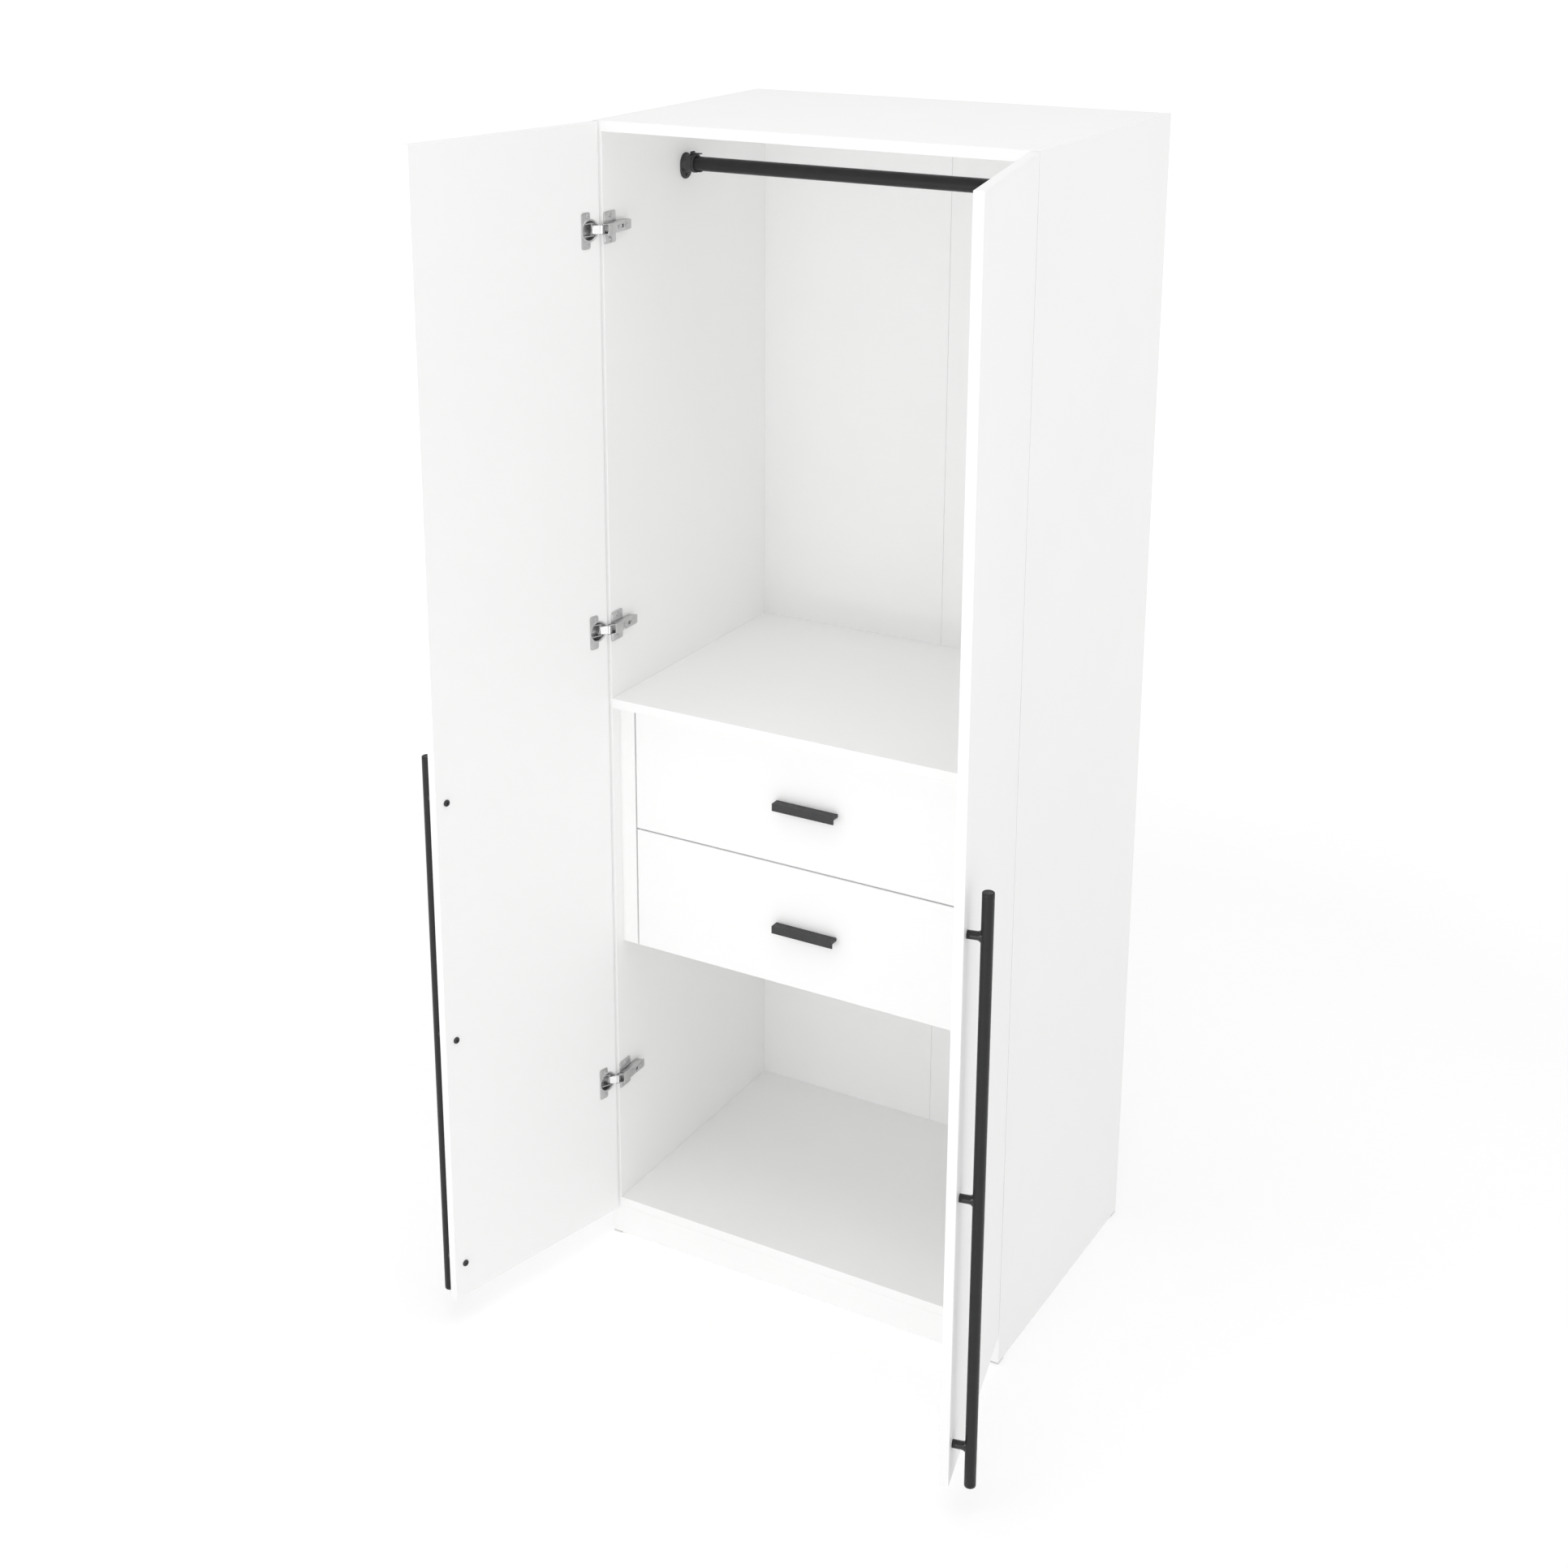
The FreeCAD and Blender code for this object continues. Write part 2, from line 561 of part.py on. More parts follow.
def drawer_pull(z0):
    """A finger pull: a flange on the drawer front with a lip that turns down."""
    half = PULL_LEN / 2
    top = z0 + DRAWER_H / 2 + PULL_T / 2
    y0 = FACE - PULL_DEEP
    profile = [V(-half, FACE, top), V(-half, y0, top), V(-half, y0, top - PULL_LIP),
               V(-half, y0 + PULL_LIP_T, top - PULL_LIP), V(-half, y0 + PULL_LIP_T, top - PULL_T),
               V(-half, FACE, top - PULL_T)]
    pull = slab(profile, PULL_LEN, RIGHT)
    long = [e for e in pull.Edges if abs(e.tangentAt(e.FirstParameter).x) > 0.9
            and e.CenterOfMass.y < FACE - 1]
    pull = pull.makeFillet(PULL_EDGE, long)
    for x in (-PULL_SCREW, PULL_SCREW):
        spot = V(x, FACE - PULL_SCREW_DEEP - PAST, z0 + DRAWER_H / 2)
        pull = pull.cut(rod(*spot, PULL_SCREW_SIZE[2] + 0.1, PULL_SCREW_DEEP + 2 * PAST, BACKWARD))
    return pull


def pull_screws(z0):
    length = FRONT_T + PULL_SCREW_DEEP
    return [screw(V(x, FACE_BACK, z0 + DRAWER_H / 2), PULL_SCREW_SIZE, length, BACKWARD)
            for x in (-PULL_SCREW, PULL_SCREW)]


def channel(z0, size, open_to):
    """One member of a slide: a web and two lips."""
    near, far, half = size
    z = z0 + SLIDE_UP
    x0, x1 = -STILE_IN + near, -STILE_IN + far
    y0, y1 = FACE_BACK + 1.0, FACE_BACK + SIDE_LEN
    web_x = x0 if open_to == "drawer" else x1 - SLIDE_SKIN
    parts = [box(web_x, web_x + SLIDE_SKIN, y0, y1, z - half, z + half)]
    for low in (z - half, z + half - SLIDE_SKIN):
        parts.append(box(x0, x1, y0, y1, low, low + SLIDE_SKIN))
    body = parts[0].fuse(parts[1:]).removeSplitter()
    return [body, mirror(body)]


def cabinet_members():
    return [s for z0 in drawer_levels().values() for s in channel(z0, CABINET_MEMBER, "drawer")]


def middle_members(z0):
    return channel(z0, MIDDLE_MEMBER, "drawer")


def drawer_members(z0):
    return channel(z0, DRAWER_MEMBER, "cheek")


def drawer_levels():
    """Lower edge of each drawer front."""
    return {"lower": DRAWER_LOW, "upper": DRAWER_LOW + DRAWER_H + FRONT_GAP}


def nodes():
    """Every node's name with its solid, or its list of solids."""
    out = {
        "top_panel": level_board(CEILING, HEIGHT),
        "bottom_panel": level_board(GLIDE + KICK, FLOOR_TOP),
        "drawer_shelf": level_board(SHELF_LOW, SHELF_TOP),
        "kick_board": kick_rail(FRONT, FRONT + BOARD),
        "rear_kick_rail": kick_rail(REAR - BOARD, REAR),
        "glides": glides(),
        "cheek_spacers": cheek_spacers(),
        "hanging_rail": hanging_rail(),
        "rail_screws": rail_screws(),
        "hinge_plate_screws": plate_screws(),
        "slide_cabinet_members": cabinet_members(),
    }
    for side in ("left", "right"):
        out["side_panel_" + side] = side_panel(side)
        out["back_panel_" + side] = back_panel(side)
        out["filler_stile_" + side] = filler_stile(side)
        out["drawer_cheek_" + side] = drawer_cheek(side)
        out["rail_flange_" + side] = rail_flange(side)
        out["hinge_plates_" + side] = [on_side(mounting_plate(z), side) for z in HINGE_Z]
        out["hinge_arms_" + side] = [on_side(hinge_arm(z), side) for z in HINGE_Z]
        out["hinge_pins_" + side] = [on_side(hinge_pin(z), side) for z in HINGE_Z]
        out["hinge_links_" + side] = [on_side(hinge_link(z), side) for z in HINGE_Z]
        out["hinge_cups_" + side] = [swing(hinge_cup(z), side) for z in HINGE_Z]
        out["cup_screws_" + side] = [swing(s, side) for z in HINGE_Z for s in cup_screws(z)]
        out["door_" + side] = door(side)
        out["handle_bar_" + side] = handle_bar(side)
        out["handle_posts_" + side] = handle_posts(side)
        out["handle_bolts_" + side] = handle_bolts(side)
    for level, z0 in drawer_levels().items():
        out["drawer_front_" + level] = drawer_front(z0)
        out["drawer_side_left_" + level] = drawer_side(z0, "left")
        out["drawer_side_right_" + level] = drawer_side(z0, "right")
        out["drawer_back_" + level] = drawer_back(z0)
        out["drawer_bottom_" + level] = drawer_bottom(z0)
        out["drawer_pull_" + level] = drawer_pull(z0)
        out["pull_screws_" + level] = pull_screws(z0)
        out["slide_middle_" + level] = middle_members(z0)
        out["slide_drawer_" + level] = drawer_members(z0)
    return out


def main():
    os.makedirs("parts", exist_ok=True)
    for name, shape in nodes().items():
        solid = Part.makeCompound(shape) if isinstance(shape, list) else shape
        solid.exportStep("parts/" + name + ".step")


main()
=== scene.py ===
import json
import math

import bpy
from mathutils import Matrix, Vector


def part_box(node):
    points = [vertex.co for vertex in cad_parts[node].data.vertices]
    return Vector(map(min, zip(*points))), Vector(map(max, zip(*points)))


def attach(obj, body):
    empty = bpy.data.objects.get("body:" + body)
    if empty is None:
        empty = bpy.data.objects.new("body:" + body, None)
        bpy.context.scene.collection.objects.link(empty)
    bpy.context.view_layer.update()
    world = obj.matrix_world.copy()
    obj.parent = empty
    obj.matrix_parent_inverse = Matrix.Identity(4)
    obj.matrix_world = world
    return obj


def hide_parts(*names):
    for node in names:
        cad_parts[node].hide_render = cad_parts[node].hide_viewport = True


# A two-door wardrobe: white boards, black bar handles and rail, nickel hinges.
# Metres. The doors stand open; every piece is placed from the CAD frame.

bl_info = {
    "name": "Two-door wardrobe",
    "version": (1, 0, 0),
    "blender": (4, 5, 0),
    "location": "3D View > Sidebar > Wardrobe",
    "description": "Finishes the boards of a wardrobe and makes its handles, rail, hinges and pulls",
    "category": "Add Mesh",
}

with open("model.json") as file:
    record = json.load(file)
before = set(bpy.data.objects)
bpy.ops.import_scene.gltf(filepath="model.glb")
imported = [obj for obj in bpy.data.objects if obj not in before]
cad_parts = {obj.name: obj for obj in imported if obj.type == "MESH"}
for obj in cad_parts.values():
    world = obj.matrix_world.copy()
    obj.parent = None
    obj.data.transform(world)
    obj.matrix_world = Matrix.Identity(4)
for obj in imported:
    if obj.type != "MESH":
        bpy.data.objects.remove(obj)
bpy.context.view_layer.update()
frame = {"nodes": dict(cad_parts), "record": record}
NODES = frame["nodes"]
RECORD = frame["record"]
SIDES = ("left", "right")
LEVELS = ("lower", "upper")
UP = Vector((0.0, 0.0, 1.0))
ROUND = 48                      # faces round a turned piece
FINE_ROUND = 64                 # the same on the largest pieces
SMALL_ROUND = 32                # and on screws and pins
SMOOTH_ANGLE = math.radians(35.0)


# ---- settings ----
def colour(name, description, default):
    return bpy.props.FloatVectorProperty(
        name=name, description=description, default=default, subtype="COLOR", size=3, min=0.0, max=1.0)


def length(name, description, default):
    return bpy.props.FloatProperty(
        name=name, description=description, default=default, min=0.0, subtype="DISTANCE", unit="LENGTH")


def power(name, description, default):
    return bpy.props.FloatProperty(name=name, description=description, default=default, min=0.0, unit="POWER")


class WardrobeFinishes(bpy.types.PropertyGroup):
    """Colours of the boards, the black fittings and the plated steel."""

    board: colour("Board", "Melamine face of the carcass boards", (0.93, 0.93, 0.926))
    door: colour("Door board", "Face of the doors and the drawer fronts", (0.935, 0.935, 0.932))
    back: colour("Back", "Lacquered face of the hardboard back", (0.92, 0.92, 0.918))
    black: colour("Black", "Powder coat of the flanges, pulls and bolts", (0.030, 0.030, 0.032))
    tube: colour("Tube black", "Coat of the rail and the bars", (0.015, 0.015, 0.016))
    gloss: colour("Gloss black", "Lacquer of the handle posts", (0.008, 0.008, 0.008))
    nickel: colour("Nickel", "Plating of the hinges", (0.60, 0.60, 0.60))
    bright: colour("Bright nickel", "Plating of the hinge links", (0.86, 0.86, 0.86))
    zinc: colour("Zinc", "Plating of the screws", (0.58, 0.585, 0.59))
    slide: colour("Slide steel", "Zinc-coated steel of the drawer slides", (0.52, 0.53, 0.54))
    plastic: colour("Plastic", "Moulded glides", (0.60, 0.60, 0.59))


class WardrobeHardware(bpy.types.PropertyGroup):
    """Sizes of the fittings that the frame's boxes don't give."""

    post_radius: length("Post radius", "Radius of the handle posts", 0.007)
    pull_flange: length("Pull flange", "Thickness of a drawer pull's flange", 0.006)
    pull_lip: length("Pull lip", "Thickness of a drawer pull's lip", 0.003)
    rail_wall: length("Rail wall", "Wall of the rail tube", 0.0015)
    plate_depth: length("Plate depth", "Hinge plate's wings from front to back", 0.034)
    link_length: length("Link length", "Hinge link from its pin to its tip", 0.0160)
    link_turn: bpy.props.FloatProperty(
        name="Link turn", description="Direction of the left hinge links at rest",
        default=math.radians(-132.5), subtype="ANGLE", unit="ROTATION")


class WardrobeStage(bpy.types.PropertyGroup):
    """Floor, lights and camera."""

    floor: colour("Floor", "Floor colour", (0.93, 0.93, 0.93))
    floor_glow: bpy.props.FloatProperty(
        name="Floor glow", description="How much the floor is lifted towards white", default=0.19, min=0.0)
    sky: bpy.props.FloatProperty(
        name="Surround", description="Strength of the even light from all round", default=0.75, min=0.0)
    overhead: power("Overhead", "Soft light above the wardrobe", 38.0)
    left: power("Left", "Soft light on the left", 9.0)
    right: power("Right", "Soft light in front, high on the right", 7.0)
    low: power("Low", "Long soft light low in front", 14.5)
    strip: power("Strip", "Narrow light in front that draws the shine on the gloss posts", 8.0)
    lens: bpy.props.FloatProperty(
        name="Lens", description="Focal length of the camera in millimetres", default=53.43, min=1.0)


# ---- materials ----
MADE = {}
NOISE_ROUGHNESS = 0.55
GRAIN_STRENGTH = 0.35           # bump strength of every grain
COAT_ROUGHNESS = 0.06
EDGE_DOTS = (0.72, 0.995)       # how far the rounded normal leaves the flat one, on an edge and on a face


class Tree:
    """A material's node tree, with short calls for adding and joining nodes."""

    def __init__(self, name):
        self.material = bpy.data.materials.new(name)
        self.material.use_nodes = True
        self.tree = self.material.node_tree
        self.tree.nodes.clear()
        self.output = self.add("ShaderNodeOutputMaterial")
        self.shader = self.add("ShaderNodeBsdfPrincipled")
        self.join(self.shader.outputs["BSDF"], self.output.inputs["Surface"])

    def add(self, kind, **settings):
        node = self.tree.nodes.new(kind)
        for key, value in settings.items():
            setattr(node, key, value)
        return node

    def join(self, source, target):
        self.tree.links.new(source, target)

    def place(self, scale):
        """Object coordinates, stretched."""
        where = self.add("ShaderNodeTexCoord")
        mapping = self.add("ShaderNodeMapping")
        mapping.inputs["Scale"].default_value = scale
        self.join(where.outputs["Object"], mapping.inputs["Vector"])
        return mapping.outputs["Vector"]

    def noise(self, vector, scale, detail):
        node = self.add("ShaderNodeTexNoise")
        node.inputs["Scale"].default_value = scale
        node.inputs["Detail"].default_value = detail
        node.inputs["Roughness"].default_value = NOISE_ROUGHNESS
        self.join(vector, node.inputs["Vector"])
        return node.outputs["Fac"]

    def ramp(self, source, low, high, from_low=0.3, from_high=0.7):
        """A value taken from one range to another."""
        node = self.add("ShaderNodeMapRange")
        values = {"From Min": from_low, "From Max": from_high, "To Min": low, "To Max": high}
        for name, value in values.items():
            node.inputs[name].default_value = value
        self.join(source, node.inputs["Value"])
        return node.outputs["Result"]

    def mix(self, factor, a, b):
        """Two colours, or a colour socket and a colour, mixed by a factor socket."""
        node = self.add("ShaderNodeMix", data_type="RGBA")
        self.join(factor, node.inputs["Factor"])
        for value, socket in ((a, node.inputs["A"]), (b, node.inputs["B"])):
            if isinstance(value, bpy.types.NodeSocket):
                self.join(value, socket)
            else:
                socket.default_value = (*value, 1.0)
        return node.outputs["Result"]

    def bump(self, height, strength, distance):
        node = self.add("ShaderNodeBump")
        node.inputs["Strength"].default_value = strength
        node.inputs["Distance"].default_value = distance
        self.join(height, node.inputs["Height"])
        return node.outputs["Normal"]

    def edge_mask(self, radius):
        """One on the outer edges of a piece, nought on its faces."""
        soft = self.add("ShaderNodeBevel", samples=4)
        soft.inputs["Radius"].default_value = radius
        hard = self.add("ShaderNodeNewGeometry")
        dot = self.add("ShaderNodeVectorMath", operation="DOT_PRODUCT")
        self.join(soft.outputs["Normal"], dot.inputs[0])
        self.join(hard.outputs["Normal"], dot.inputs[1])
        return self.ramp(dot.outputs["Value"], 1.0, 0.0, *EDGE_DOTS)


def shade(tint, factor):
    return tuple(min(1.0, c * factor) for c in tint)


def surface(name, tint, spread, patch, grain, grain_depth, rough, stretch=(1.0, 1.0, 1.0),
            metallic=0.0, edge=1.0, edge_radius=0.001, coat=0.0, specular=0.5):
    """A finish with patchy colour, a fine grain in its bump and roughness, and painted light on its edges: a
    painted highlight where the edge factor is above one, painted shade where it is below.
    """
    t = Tree(name)
    vector = t.place(stretch)
    blotch = t.noise(vector, patch, 4.0)
    fine = t.noise(vector, grain, 2.0)
    base = t.mix(t.ramp(blotch, 0.0, 1.0), shade(tint, 1.0 - spread), shade(tint, 1.0 + spread))
    speck = t.mix(t.ramp(fine, 0.0, 0.35, 0.45, 0.75), base, shade(tint, 1.0 - 2.0 * spread))
    # Painted light on the rims: the tint times the edge factor, a painted highlight where the factor is above
    # one and painted shade where it is below.
    painted_edge_light = t.mix(t.ramp(t.edge_mask(edge_radius), 0.0, 0.8, 0.0, 1.0), speck, shade(tint, edge))
    t.join(painted_edge_light, t.shader.inputs["Base Color"])
    t.join(t.ramp(t.noise(vector, patch * 6.0, 3.0), rough[0], rough[1]), t.shader.inputs["Roughness"])
    t.join(t.bump(fine, GRAIN_STRENGTH, grain_depth), t.shader.inputs["Normal"])
    t.shader.inputs["Metallic"].default_value = metallic
    t.shader.inputs["Specular IOR Level"].default_value = specular
    t.shader.inputs["Coat Weight"].default_value = coat
    t.shader.inputs["Coat Roughness"].default_value = COAT_ROUGHNESS
    return t.material


def finishes():
    """Every material, by the record's slot name, made once."""
    if MADE:
        return MADE
    c = bpy.context.scene.wardrobe_finishes
    # The edge factors paint light on the rims: a painted highlight above one on the black, plastic and metal
    # pieces, painted shade below one on the white boards.
    MADE.update({
        "white_board": surface(
            "white_melamine", c.board, spread=0.008, patch=3.0, grain=900.0, grain_depth=0.00006,
            rough=(0.42, 0.52), edge=0.93, specular=0.35),
        "white_door_board": surface(
            "white_door_laminate", c.door, spread=0.006, patch=2.5, grain=700.0, grain_depth=0.00004,
            rough=(0.36, 0.45), edge=0.95, specular=0.35),
        "white_hardboard": surface(
            "white_hardboard", c.back, spread=0.010, patch=4.0, grain=420.0, grain_depth=0.00008,
            rough=(0.55, 0.66), edge=0.80, specular=0.25),
        "black_metal": surface(
            "black_powder_coat", c.black, spread=0.10, patch=18.0, grain=1900.0, grain_depth=0.00006,
            rough=(0.42, 0.55), edge=1.9, edge_radius=0.0008),
        "black_tube": surface(
            "black_tube_coat", c.tube, spread=0.12, patch=26.0, grain=1500.0, grain_depth=0.00003,
            rough=(0.28, 0.42), edge=2.2, edge_radius=0.0008, specular=0.32),
        "black_gloss": surface(
            "black_gloss_lacquer", c.gloss, spread=0.12, patch=14.0, grain=900.0, grain_depth=0.00001,
            rough=(0.08, 0.12), edge=1.8, edge_radius=0.0006, coat=0.5, specular=0.35),
        "black_screw": surface(
            "black_screw_steel", c.black, spread=0.12, patch=60.0, grain=2400.0, grain_depth=0.00003,
            rough=(0.40, 0.52), edge=1.8, edge_radius=0.0005),
        "grey_plastic": surface(
            "grey_glide_plastic", c.plastic, spread=0.05, patch=40.0, grain=1800.0, grain_depth=0.00005,
            rough=(0.55, 0.66), edge=1.15, edge_radius=0.0006),
        "nickel_steel": surface(
            "nickel_plate", c.nickel, spread=0.08, patch=60.0, grain=1400.0, grain_depth=0.00003,
            rough=(0.26, 0.36), stretch=(1.0, 1.0, 0.25), metallic=1.0, edge=1.25, edge_radius=0.0006),
        "bright_nickel": surface(
            "bright_nickel", c.bright, spread=0.03, patch=80.0, grain=1400.0, grain_depth=0.00001,
            rough=(0.10, 0.16), metallic=1.0, edge=1.1, edge_radius=0.0004),
        "zinc_screw": surface(
            "zinc_screw", c.zinc, spread=0.10, patch=140.0, grain=2200.0, grain_depth=0.00002,
            rough=(0.28, 0.40), metallic=1.0, edge=1.2, edge_radius=0.0004),
        "slide_steel": surface(
            "slide_zinc_steel", c.slide, spread=0.09, patch=55.0, grain=900.0, grain_depth=0.00002,
            rough=(0.32, 0.46), stretch=(1.0, 0.08, 1.0), metallic=1.0, edge=1.15, edge_radius=0.0005),
    })
    return MADE


def paint(obj, material):
    """The material in every slot of a piece or a CAD node."""
    if not obj.material_slots:
        obj.data.materials.append(material)
    for slot in obj.material_slots:
        slot.material = material


class WARDROBE_OT_finish_nodes(bpy.types.Operator):
    """Give every CAD node the finish of its material slot."""

    bl_idname = "wardrobe.finish_nodes"
    bl_label = "Finish boards and fittings"

    def execute(self, context):
        made = finishes()
        for row in RECORD["subparts"]:
            paint(NODES[row["node"]], made[row["material_slot"]])
        return {"FINISHED"}


# ---- modelling helpers ----
MERGE = 0.00001
JOINTS = {joint["name"]: joint for joint in RECORD["behaviour"]["joints"]}
REST = math.radians(-JOINTS["door_left_hinge"]["range_deg"][0])
AXIS = Vector(JOINTS["door_left_hinge"]["pos_m"])
PIN = Vector(JOINTS["hinge_links_left_pin"]["pos_m"])
OPEN = Matrix.Translation(AXIS) @ Matrix.Rotation(-REST, 4, "Z") @ Matrix.Translation(-AXIS)
MIRROR = Matrix.Diagonal((-1.0, 1.0, 1.0, 1.0))
ON_SIDE = {"left": Matrix.Identity(4), "right": MIRROR}
# A turned piece grows along +Z; these lay it along another way.
TO_FRONT = Matrix.Rotation(math.pi / 2, 4, "X")
TO_BACK = Matrix.Rotation(-math.pi / 2, 4, "X")
TO_RIGHT = Matrix.Rotation(math.pi / 2, 4, "Y")


def at(x, y, z):
    return Matrix.Translation((x, y, z))


def solids(node, place=None, gap=0.03, keep=lambda point: True):
    """Low and high corner of each solid of a CAD node, parted where there is a gap in height."""
    turn = place.inverted() if place else Matrix.Identity(4)
    points = sorted((turn @ v.co for v in NODES[node].data.vertices if keep(v.co)), key=lambda p: p.z)
    groups = [[points[0]]]
    for point in points[1:]:
        if point.z - groups[-1][-1].z > gap:
            groups.append([])
        groups[-1].append(point)
    return [(Vector(min(p[i] for p in g) for i in range(3)), Vector(max(p[i] for p in g) for i in range(3)))
            for g in groups]


def middle(corners):
    return (corners[0] + corners[1]) / 2


def only(obj):
    """Select one object and make it active."""
    bpy.ops.object.select_all(action="DESELECT")
    obj.select_set(True)
    bpy.context.view_layer.objects.active = obj


def settle(obj, place=None):
    """Move a piece to its place and put the place into its mesh."""
    only(obj)
    if place is not None:
        obj.matrix_world = place @ obj.matrix_world
    bpy.ops.object.transform_apply(location=True, rotation=True, scale=True)


def clean(obj):
    """Merge doubles, turn the faces outwards and shade smoothly up to the sharp edges."""
    only(obj)
    bpy.ops.object.mode_set(mode="EDIT")
    bpy.ops.mesh.select_all(action="SELECT")
    bpy.ops.mesh.remove_doubles(threshold=MERGE)
    bpy.ops.mesh.normals_make_consistent(inside=False)
    bpy.ops.object.mode_set(mode="OBJECT")
    bpy.ops.object.shade_smooth_by_angle(angle=SMOOTH_ANGLE)


def apply(obj, kind, **settings):
    """Add a modifier and apply it."""
    only(obj)
    modifier = obj.modifiers.new(kind.lower(), kind)
    for key, value in settings.items():
        setattr(modifier, key, value)
    bpy.ops.object.modifier_apply(modifier=modifier.name)


def rounded(obj, width, segments=3, angle=40.0):
    apply(obj, "BEVEL", width=width, segments=segments, limit_method="ANGLE",
          angle_limit=math.radians(angle), harden_normals=False)


def cut(obj, tool):
    """Take the tool's shape out of a piece; the tool is used up."""
    apply(obj, "BOOLEAN", operation="DIFFERENCE", object=tool, solver="EXACT")
    bpy.data.objects.remove(tool)


def joined(pieces):
    only(pieces[0])
    for piece in pieces[1:]:
        piece.select_set(True)
    bpy.ops.object.join()
    return pieces[0]


def block(x0, x1, y0, y1, z0, z1):
    """A cube at its size and place, to be shaped further."""
    bpy.ops.object.select_all(action="DESELECT")
    bpy.ops.mesh.primitive_cube_add(size=1.0, location=((x0 + x1) / 2, (y0 + y1) / 2, (z0 + z1) / 2))
    obj = bpy.context.object
    obj.scale = (x1 - x0, y1 - y0, z1 - z0)
    settle(obj)
    return obj


def turned(profile, sides=ROUND):
    """A piece turned about +Z: (radius, height) or (radius, height, stretch along X) from foot to tip."""
    bpy.ops.object.select_all(action="DESELECT")
    bpy.ops.mesh.primitive_circle_add(vertices=sides, radius=1.0, fill_type="NGON")
    obj = bpy.context.object
    bpy.ops.object.mode_set(mode="EDIT")
    bpy.ops.mesh.select_all(action="SELECT")
    before = (1.0, 0.0, 1.0)
    for count, row in enumerate(profile):
        radius, height, stretch = (*row, 1.0)[:3]
        rise = (0.0, 0.0, height - before[1])
        if count:
            bpy.ops.mesh.extrude_region_move(TRANSFORM_OT_translate={"value": rise})
        else:
            bpy.ops.transform.translate(value=rise)
        grow = radius / before[0]
        widen = (grow * stretch / before[2], grow, 1.0)
        bpy.ops.transform.resize(value=widen, center_override=(0.0, 0.0, height))
        before = (radius, height, stretch)
    bpy.ops.object.mode_set(mode="OBJECT")
    return obj


def chosen(obj, test):
    """Select the faces of a piece whose middle and normal pass a test, and stay in edit mode."""
    only(obj)
    bpy.ops.object.mode_set(mode="EDIT")
    bpy.ops.mesh.select_mode(type="FACE")
    bpy.ops.mesh.select_all(action="DESELECT")
    bpy.ops.object.mode_set(mode="OBJECT")
    for face in obj.data.polygons:
        face.select = test(face.center, face.normal)
    bpy.ops.object.mode_set(mode="EDIT")


def shift(obj, test, move):
    """Move the vertices that pass a test."""
    only(obj)
    bpy.ops.object.mode_set(mode="EDIT")
    bpy.ops.mesh.select_mode(type="VERT")
    bpy.ops.mesh.select_all(action="DESELECT")
    bpy.ops.object.mode_set(mode="OBJECT")
    for vertex in obj.data.vertices:
        vertex.select = test(vertex.co)
    bpy.ops.object.mode_set(mode="EDIT")
    bpy.ops.transform.translate(value=move)
    bpy.ops.object.mode_set(mode="OBJECT")


def round_corners(obj, way, radius, segments=6):
    """Round a block's corners that run along one axis."""
    only(obj)
    bpy.ops.object.mode_set(mode="EDIT")
    bpy.ops.mesh.select_mode(type="EDGE")
    bpy.ops.mesh.select_all(action="DESELECT")
    bpy.ops.object.mode_set(mode="OBJECT")
    for edge in obj.data.edges:
        a, b = (obj.data.vertices[i].co for i in edge.vertices)
        edge.select = abs((b - a).normalized()[way]) > 0.99
    bpy.ops.object.mode_set(mode="EDIT")
    bpy.ops.mesh.bevel(offset=radius, segments=segments, affect="EDGES")
    bpy.ops.object.mode_set(mode="OBJECT")


def copy_to(model, name, place, body, slot, nodes, made):
    """A copy of a modelled piece at its place, riding on its body and standing for CAD nodes."""
    piece = model.copy()
    piece.data = model.data.copy()
    bpy.context.scene.collection.objects.link(piece)
    piece.name = piece.data.name = name
    settle(piece, place)
    clean(piece)
    paint(piece, made[slot])
    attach(piece, body)
    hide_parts(*nodes)
    return piece


def drop(model):
    bpy.data.objects.remove(model)


def screw(head, rise, shaft, length):
    """A pan-head screw with a cross recess: the head stands up from nought, the shaft hangs down."""
    tip = 1.2 * shaft
    piece = turned([(0.3 * shaft, -length), (shaft, tip - length), (shaft, 0.0), (head, 0.0),
                    (head, 0.35 * rise), (0.93 * head, 0.62 * rise), (0.78 * head, 0.85 * rise),
                    (0.5 * head, 0.97 * rise), (0.2 * head, rise)], SMALL_ROUND)
    arm, wide, deep = 0.55 * head, 0.13 * head, 0.55 * rise
    cut(piece, block(-arm, arm, -wide, wide, deep, 2 * rise))
    cut(piece, block(-wide, wide, -arm, arm, deep, 2 * rise))
    return piece


# ---- bar handles ----
CAP = 0.0062                    # ring line below each end of a bar


class WARDROBE_OT_handle_bars(bpy.types.Operator):
    """Make the round handle bars with recessed ends and cap rings."""

    bl_idname = "wardrobe.handle_bars"
    bl_label = "Handle bars"

    def execute(self, context):
        made = finishes()
        low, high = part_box("handle_bar_left")
        r, half = (high[0] - low[0]) / 2, (high[2] - low[2]) / 2
        end = [(r - 0.0026, half - 0.0007), (r - 0.0022, half - 0.0001), (r - 0.0012, half),
               (r - 0.0004, half - 0.0004), (r, half - 0.0012), (r, half - CAP + 0.0003),
               (r - 0.0004, half - CAP), (r - 0.0004, half - CAP - 0.0004), (r, half - CAP - 0.0007)]
        model = turned([(a, -z) for a, z in end] + end[::-1], FINE_ROUND)
        for side in SIDES:
            node = "handle_bar_" + side
            copy_to(model, "bar_" + side, at(*middle([Vector(c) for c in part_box(node)])), "door_" + side,
                    "black_tube", [node], made)
        drop(model)
        return {"FINISHED"}


